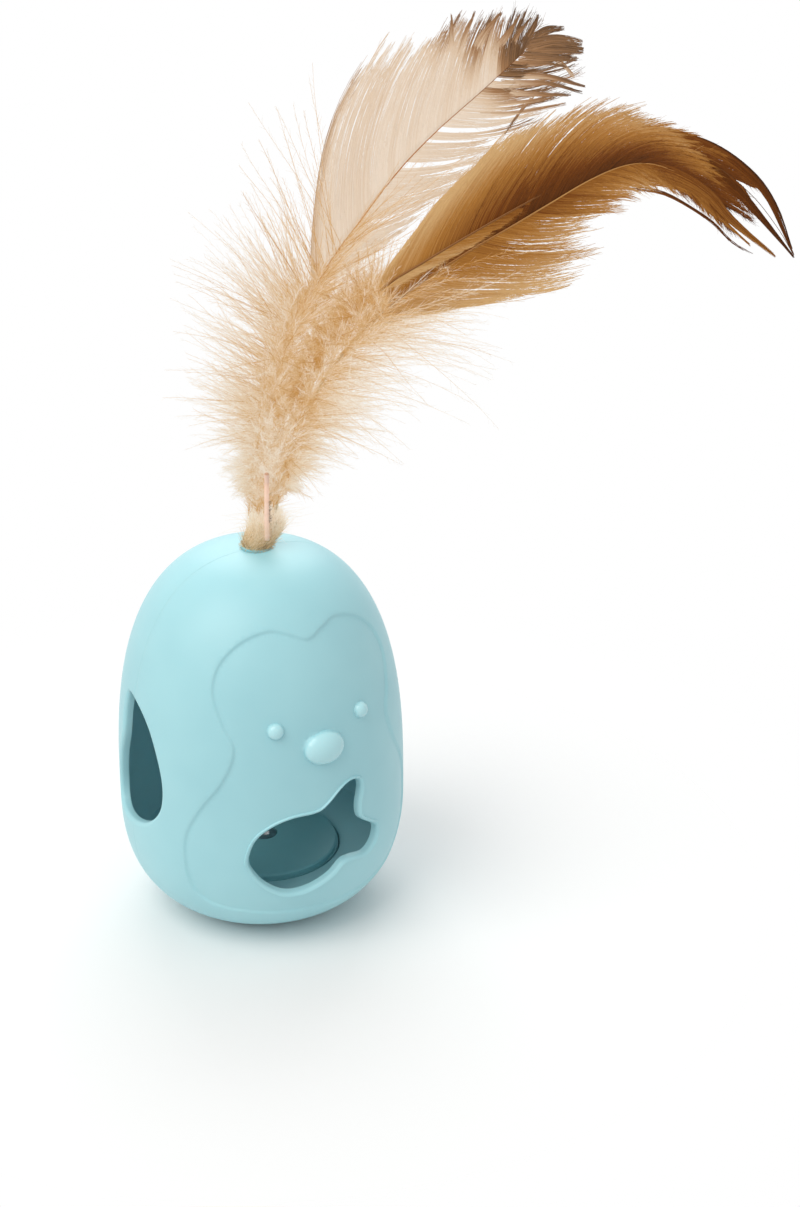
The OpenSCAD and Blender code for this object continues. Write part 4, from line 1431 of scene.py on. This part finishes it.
@dataclass
class Toy:
    """The whole toy: gives every piece its finish and puts all but the collar's fuzz on their bodies."""

    frame: dict
    made: dict = field(default_factory=dict)

    def finish(self, choice: Finishes):
        """The material of a finish, made once."""
        if choice not in self.made:
            self.made[choice] = choice.value.material()
        return self.made[choice]

    def put(self, piece, choice: Finishes, body: str, nodes: tuple[str, ...]):
        """Gives a piece its material and body, and hides the CAD nodes that it stands for."""
        piece.data.materials.append(self.finish(choice))
        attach(piece, body)
        if nodes:
            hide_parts(*nodes)
        return piece

    @staticmethod
    def airy(piece) -> None:
        """Lets light through hairs that are far finer than a pixel, as loose down does."""
        piece.visible_shadow = piece.visible_diffuse = piece.visible_transmission = False

    def put_hairs(self, hair: Surface, name: str, choice: Finishes, slot: str, *nodes: str) -> None:
        """Puts a piece of fine hairs on the feathers' body."""
        self.airy(self.put(hair.to_object(name), choice, "feathers", nodes))

    def dress_cad(self) -> None:
        """Gives the CAD solids that stay their finishes."""
        for node, choice in CAD_FINISHES.items():
            piece = self.frame["nodes"][node]
            piece.data.materials.clear()
            piece.data.materials.append(self.finish(choice))

    def build_shell(self) -> None:
        """Both shell halves."""
        egg = EggForm()
        for half, node in ((Half.FRONT, "front_shell"), (Half.REAR, "rear_shell")):
            piece = ShellHalf(egg, half).surface().to_object(f"{node}_skin", 38.0, outward=True)
            self.put(piece, Finishes.SHELL, "shell", (node,))

    def feathers(self, plane: FeatherPlane) -> list[Feather]:
        """The three feathers with their own vanes and locks."""
        pale = Feather(
            "feather_a",
            knots=((0.45, 2.2), (2.2, 21.5), (6.3, 41.3), (13.4, 54.9), (21.2, 66.3), (28.9, 76.6),
                   (36, 84.2), (44.9, 92.3), (52.5, 99.5)),
            depth=((0, 0), (1, 0)), camber=2.5, fuzz=1600, plane=plane, seed=21,
            left=VaneSide(
                edge=((-27, 17.4), (-24, 18), (-21, 16.8), (-16.5, 14), (-7.5, 12.4), (-2.5, 10.4),
                      (2, 7.4), (5, 4.6), (7.5, 2)),
                barbs=760, angle=(27, 30, 34), fine=(7, 9), coarse=(50, 24), slit=(0.5, 1.1),
                ragged=(0.07, 0.09), thin=0.0, cover=1.3, tone=(0.08, 0.2, 0.82), dark=(-15, -1), rim=0.3,
            ),
            right=VaneSide(
                edge=((-52, 5), (-44, 8), (-34, 9.5), (-25, 10), (-17, 9.6), (-9.5, 9.4), (-2.2, 10.4),
                      (2, 9), (6, 5), (9, 2)),
                barbs=480, angle=(30, 38, 38), fine=(6, 10), coarse=(16, 20), slit=(1.0, 1.2),
                ragged=(0.14, 0.1), thin=0.2, cover=1.1, tone=(0.1, 0.28, 0.82), dark=(-15, -1),
            ),
            locks=(
                Lock(((38.6, 98.5), (38.9, 102.5), (38.8, 106.4)), 0.8, 24, (0.16, 0.75)),
                Lock(((40.4, 97.9), (41.5, 102.5), (43.2, 106.9)), 0.8, 26, (0.18, 0.8)),
                Lock(((42.8, 97.9), (44.8, 102.5), (48.0, 106.7)), 1.2, 46, (0.2, 0.8)),
                Lock(((46.3, 98.5), (49.2, 102.5), (51.5, 106.4)), 1.0, 38, (0.3, 0.85)),
                Lock(((49.5, 98.4), (50.9, 102.3), (53.6, 105.7)), 0.8, 32, (0.4, 0.9)),
                Lock(((52.2, 100.4), (53.9, 103.7), (54.8, 106.4)), 0.8, 36, (0.7, 0.95), 0.0, 0.3),
                Lock(((53.0, 100.6), (56.3, 103.2), (59.8, 103.8)), 1.0, 50, (0.75, 0.95), 0.0, 0.4),
                Lock(((52.8, 100.2), (58.1, 101.7), (63.2, 101.0)), 1.2, 90, (0.75, 0.85), -0.3, 0.55),
                Lock(((52.4, 99.5), (58.2, 99.9), (63.5, 99.6)), 1.2, 90, (0.7, 0.88), 0.2, 0.55),
                Lock(((51.4, 98.3), (57.6, 98.3), (62.4, 98.1)), 1.0, 64, (0.65, 0.88), 0.0, 0.4),
                Lock(((50.0, 96.9), (56.0, 97.3), (60.4, 96.6)), 0.7, 34, (0.5, 0.9)),
                Lock(((58.2, 97.6), (60.1, 96.5), (61.9, 94.5)), 0.5, 16, (0.5, 0.4), 0.4, 0.3),
                Lock(((48.5, 94.6), (56.5, 94.8), (64.0, 93.0)), 0.8, 44, (0.3, 0.9)),
                Lock(((48.2, 93.4), (56.5, 93.5), (63.5, 91.8)), 0.6, 32, (0.3, 0.95)),
                Lock(((47.0, 92.0), (54.8, 91.4), (61.4, 91.3)), 0.7, 34, (0.22, 0.9)),
                Lock(((44.5, 89.0), (54.2, 90.2), (58.4, 90.8)), 0.6, 26, (0.18, 0.75)),
                Lock(((42.8, 87.4), (51.2, 87.9), (60.5, 89.7)), 0.5, 20, (0.16, 0.7)),
                Lock(((54.8, 91.2), (51.9, 88.1), (49.0, 83.6)), 0.3, 12, (0.5, 0.95)),
            ),
        )  # fmt: skip
        brown = Feather(
            "feather_b",
            knots=((2.95, 2.2), (7, 19), (15.2, 36.5), (27.9, 50.7), (40.9, 60.2), (51.2, 66.6),
                   (58.2, 71), (65, 75.2), (71.2, 78), (76.4, 78.6), (81.5, 77), (87, 73.6),
                   (92.5, 68.2), (97, 64), (101.4, 60.5)),
            depth=((0, 0), (0.4, -1.2), (1, -1.75)), camber=2.0, fuzz=5200, plane=plane, seed=31,
            left=VaneSide(
                edge=((-85, 5.5), (-67, 11.9), (-54, 14.8), (-45.7, 13.6), (-39, 12.5), (-36, 11.5),
                      (-32, 8.2), (-26.5, 6.5), (-21, 5.5), (-14, 3.5), (-8, 2)),
                barbs=900, angle=(24, 30, 14), fine=(7, 14), coarse=(120, 50), slit=(0.15, 0.8),
                ragged=(0.06, 0.1), thin=0.0, cover=1.5, tone=(0.85, 0.1, 0.75), dark=(-34, -10), foot=0.52,
            ),
            right=VaneSide(
                edge=((-88, 4), (-80, 7.5), (-72, 11), (-66, 13), (-60, 12.6), (-55, 11.4), (-50, 9.6),
                      (-44, 8), (-37, 6.1), (-26.5, 3.7), (-18, 2.8), (-8, 1.8)),
                barbs=900, angle=(30, 34, 14), fine=(4, 12), coarse=(90, 50), slit=(0.3, 0.8),
                ragged=(0.15, 0.1), thin=0.0, cover=1.7, tone=(0.52, 0.14, 0.65), dark=(-34, -10), foot=0.22,
            ),
            locks=(
                Lock(((68, 77.8), (74.9, 77.6), (81.5, 76.2), (87.9, 72.6), (92.6, 67.6), (101.4, 60.5)),
                     2.0, 160, (0.6, 0.52), -1.8),
                Lock(((72, 73.6), (78, 73), (82.2, 71.4), (88.7, 67.3), (93, 63.1), (97.2, 60.7)),
                     0.4, 16, (0.7, 0.85), -1.5),
                Lock(((70, 75.5), (78, 74.9), (84, 73.4), (89, 69.2), (96.5, 62.6)),
                     1.0, 44, (0.5, 0.45), -1.6),
            ),
        )  # fmt: skip
        under = Feather(
            "feather_c",
            knots=((1.7, 2.2), (5.4, 22), (14, 40), (25.4, 53.5), (34.3, 59.8), (46, 66.9), (58.1, 73.4),
                   (70, 79.2), (79, 81), (88, 78.5), (96, 72.5), (101.5, 66), (105.2, 60.2)),
            depth=((0, 1.25), (0.28, 1.25), (0.4, -2.5), (0.52, -2.5), (0.66, -0.4), (1, -0.4)),
            camber=2.0, fuzz=2400, plane=plane, seed=41,
            left=VaneSide(
                edge=((-93, 1.8), (-74.6, 8.8), (-62.5, 12.3), (-54, 11.8), (-46, 11), (-42, 10), (-37, 6),
                      (-30.6, 3.4), (-25, 2.6), (-12, 1.6)),
                barbs=620, angle=(22, 28, 12), fine=(7, 14), coarse=(120, 50), slit=(0.15, 0.8),
                ragged=(0.07, 0.1), thin=0.0, cover=1.4, tone=(0.78, 0.2, 0.85), dark=(-36, -12), foot=0.5,
            ),
            right=VaneSide(
                edge=((-93, 1.5), (-75, 3), (-60, 3), (-50, 3), (-40, 3.4), (-30, 3.4), (-20, 2.6),
                      (-10, 1.5)),
                barbs=320, angle=(20, 22, 12), fine=(6, 14), coarse=(60, 50), slit=(0.4, 0.8),
                ragged=(0.1, 0.1), thin=0.05, cover=1.2, tone=(0.62, 0.5, 0.85), dark=(-36, -12), foot=0.42,
            ),
            locks=(
                Lock(((72, 84.2), (81.3, 83.4), (89.6, 80.4), (95.3, 76.3), (99.6, 71.6), (103.8, 63.1),
                      (105.1, 60.5)), 1.5, 120, (0.55, 0.85), -0.6),
                Lock(((78, 84.6), (88.4, 81.8), (96.2, 76.5), (101.2, 70.1), (104.8, 61.5)),
                     0.6, 30, (0.7, 0.95), -0.4),
                Lock(((72, 80.6), (84.9, 79), (93, 73.4), (98.6, 67.6), (105.1, 60.1)),
                     1.9, 150, (0.6, 0.95), -0.8),
            ),
        )  # fmt: skip
        return [pale, brown, under]

    def build_crest(self) -> None:
        """Feathers, down, collar, stub and winding."""
        plane = FeatherPlane()
        feathers = self.feathers(plane)
        looks = {
            "feather_a": (Finishes.VANE_A, Finishes.QUILL_A, "pale_feather"),
            "feather_b": (Finishes.VANE_B, Finishes.QUILL_B, "brown_feather"),
            "feather_c": (Finishes.VANE_B, Finishes.QUILL_C, "brown_feather"),
        }
        for feather in feathers:
            vane, shaft, slot = looks[feather.name]
            left, left_fuzz = feather.vane(feather.left, 1.0)
            right, right_fuzz = feather.vane(feather.right, -1.0)
            rng = np.random.default_rng(feather.seed + 5)
            locks = [lock.surface(plane, rng) for lock in feather.locks]
            barbs = Surface.joined([left, right] + locks)
            self.put_hairs(barbs, f"{feather.name}_vane", vane, slot, feather.name)
            fuzz = Surface.joined([left_fuzz, right_fuzz])
            self.put_hairs(fuzz, f"{feather.name}_fuzz", vane, slot)
            self.put_hairs(feather.shaft(), f"{feather.name}_shaft", shaft, slot)
        stalks, *down = Down(feathers, plane).surfaces()
        self.put_hairs(stalks, "down_stalks", Finishes.DOWN, "down", "down_plume")
        for number, part in enumerate(down):
            self.put_hairs(part, f"down_hairs_{number}", Finishes.DOWN, "down")
        stub = CutQuill(plane).surface().to_object("quill_stub_cut")
        self.put(stub, Finishes.STUB, "feathers", ("quill_stub",))
        coil = Winding(plane).surface().to_object("thread_coil")
        self.put(coil, Finishes.THREAD, "feathers", ("thread_binding",))
        fuzz = Tuft(plane).surface().to_object("tuft_fuzz")
        fuzz.data.materials.append(self.finish(Finishes.TUFT))
        self.airy(fuzz)
        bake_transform(fuzz)
        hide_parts("tuft")


@dataclass
class Studio:
    """White floor, soft lights and the photograph's camera.

    Attributes:
        camera_mm: Place of the camera.
        tilt_deg: Its turns about the axes.
        lens: Its focal length in millimetres, on a sensor 36 mm wide.
        floor_mm: Half width of the floor.
        floor_z: Height of the floor, just under the foot.
        fade_m: Distances from the middle between which the floor fades.
        room: Strength of the room's light on what isn't seen directly or in a reflection.
    """

    # Name, place, aim and size in millimetres, power in watts and colour of each soft light
    LIGHTS = (
        ("key", (-700, -160, 900), (0, 0, 60), 900, 7.7, "#FFFDF8"),
        ("back", (280, 520, 520), (30, -15, 130), 600, 2.4, "#FFFFFF"),
        ("fill", (200, -800, 500), (0, 0, 60), 900, 0.25, "#F6FAFF"),
    )

    camera_mm: tuple[float, float, float] = (-203.4, -419.0, 287.5)
    tilt_deg: tuple[float, float, float] = (64.7, 0.0, -29.5)
    lens: float = 74.57
    floor_mm: float = 900.0
    floor_z: float = -0.05
    fade_m: tuple[float, float] = (0.03, 0.15)
    room: float = 0.66

    def floor(self) -> None:
        """A square sheet of white paper that keeps the shadow and fades into the white room."""
        corners = ((-1, -1), (1, -1), (1, 1), (-1, 1))
        points = np.array([[x * self.floor_mm, y * self.floor_mm, self.floor_z] for x, y in corners])
        piece = Surface(points, [np.array([[0, 1, 2, 3]])]).to_object("floor")
        paper, tree, body = new_material(
            "matte_white_paper", Base_Color=srgb("#ECEDED"), Roughness=0.9, Specular_IOR_Level=0.0
        )
        where = add_node(tree, "ShaderNodeTexCoord").outputs["Object"]
        far = add_node(tree, "ShaderNodeVectorMath", None, {0: where}, operation="LENGTH")
        near, end = self.fade_m
        fade = add_node(
            tree, "ShaderNodeMapRange", {"From Min": near, "From Max": end, "To Min": 1.0, "To Max": 0.0},
            {"Value": far.outputs["Value"]}, interpolation_type="SMOOTHSTEP",
        )  # fmt: skip
        tree.links.new(fade.outputs["Result"], body.inputs["Alpha"])
        piece.data.materials.append(paper)
        piece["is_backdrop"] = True

    def light(self, name: str, at_mm, aim_mm, size_mm: float, power: float, code: str) -> None:
        """One square soft light that looks at a point."""
        data = bpy.data.lights.new(name, "AREA")
        data.size, data.energy, data.color = size_mm * MM, power, srgb(code)[:3]
        lamp = bpy.data.objects.new(name, data)
        place, aim = Vector(at_mm) * MM, Vector(aim_mm) * MM
        lamp.location = place
        lamp.rotation_euler = (aim - place).to_track_quat("-Z", "Y").to_euler()
        bpy.context.scene.collection.objects.link(lamp)

    def light_room(self) -> None:
        """Even white light, and full white where the camera, a reflection or clear light meets it."""
        world = bpy.data.worlds.new("white_room")
        world.use_nodes = True
        tree = world.node_tree
        sky = tree.nodes["Background"]
        sky.inputs["Color"].default_value = srgb("#FFFFFF")
        sky.inputs["Strength"].default_value = self.room
        seen = add_node(tree, "ShaderNodeBackground", {"Color": srgb("#FFFFFF"), "Strength": 1.0})
        ray = add_node(tree, "ShaderNodeLightPath").outputs
        white = ray["Is Camera Ray"]
        for kind in ("Is Glossy Ray", "Is Transmission Ray"):
            links = {0: white, 1: ray[kind]}
            white = add_node(tree, "ShaderNodeMath", None, links, operation="MAXIMUM").outputs[0]
        links = {0: white, 1: sky.outputs["Background"], 2: seen.outputs["Background"]}
        both = add_node(tree, "ShaderNodeMixShader", None, links)
        tree.links.new(both.outputs["Shader"], tree.nodes["World Output"].inputs["Surface"])
        bpy.context.scene.world = world

    def build(self) -> None:
        """Floor, room, lights and camera."""
        scene = bpy.context.scene
        self.floor()
        self.light_room()
        for light in self.LIGHTS:
            self.light(*light)
        data = bpy.data.cameras.new("photo_view")
        data.lens, data.sensor_width, data.sensor_fit = self.lens, 36.0, "AUTO"
        data.clip_start = 0.01
        camera = bpy.data.objects.new("photo_view", data)
        camera.location = Vector(self.camera_mm) * MM
        camera.rotation_euler = [math.radians(d) for d in self.tilt_deg]
        scene.collection.objects.link(camera)
        bpy.context.scene.camera = camera
        scene.view_settings.view_transform = "Standard"


def main() -> None:
    """Loads the frame, builds the looks over it and logs the faces of each shown piece."""
    logging.basicConfig(level=logging.INFO, format="%(name)s %(message)s")
    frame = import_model()
    toy = Toy(frame)
    toy.dress_cad()
    toy.build_shell()
    toy.build_crest()
    Studio().build()
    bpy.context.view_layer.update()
    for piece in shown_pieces():
        LOG.info("%s: %d faces", piece.name, len(piece.data.polygons))


if __name__ == "__main__":
    main()
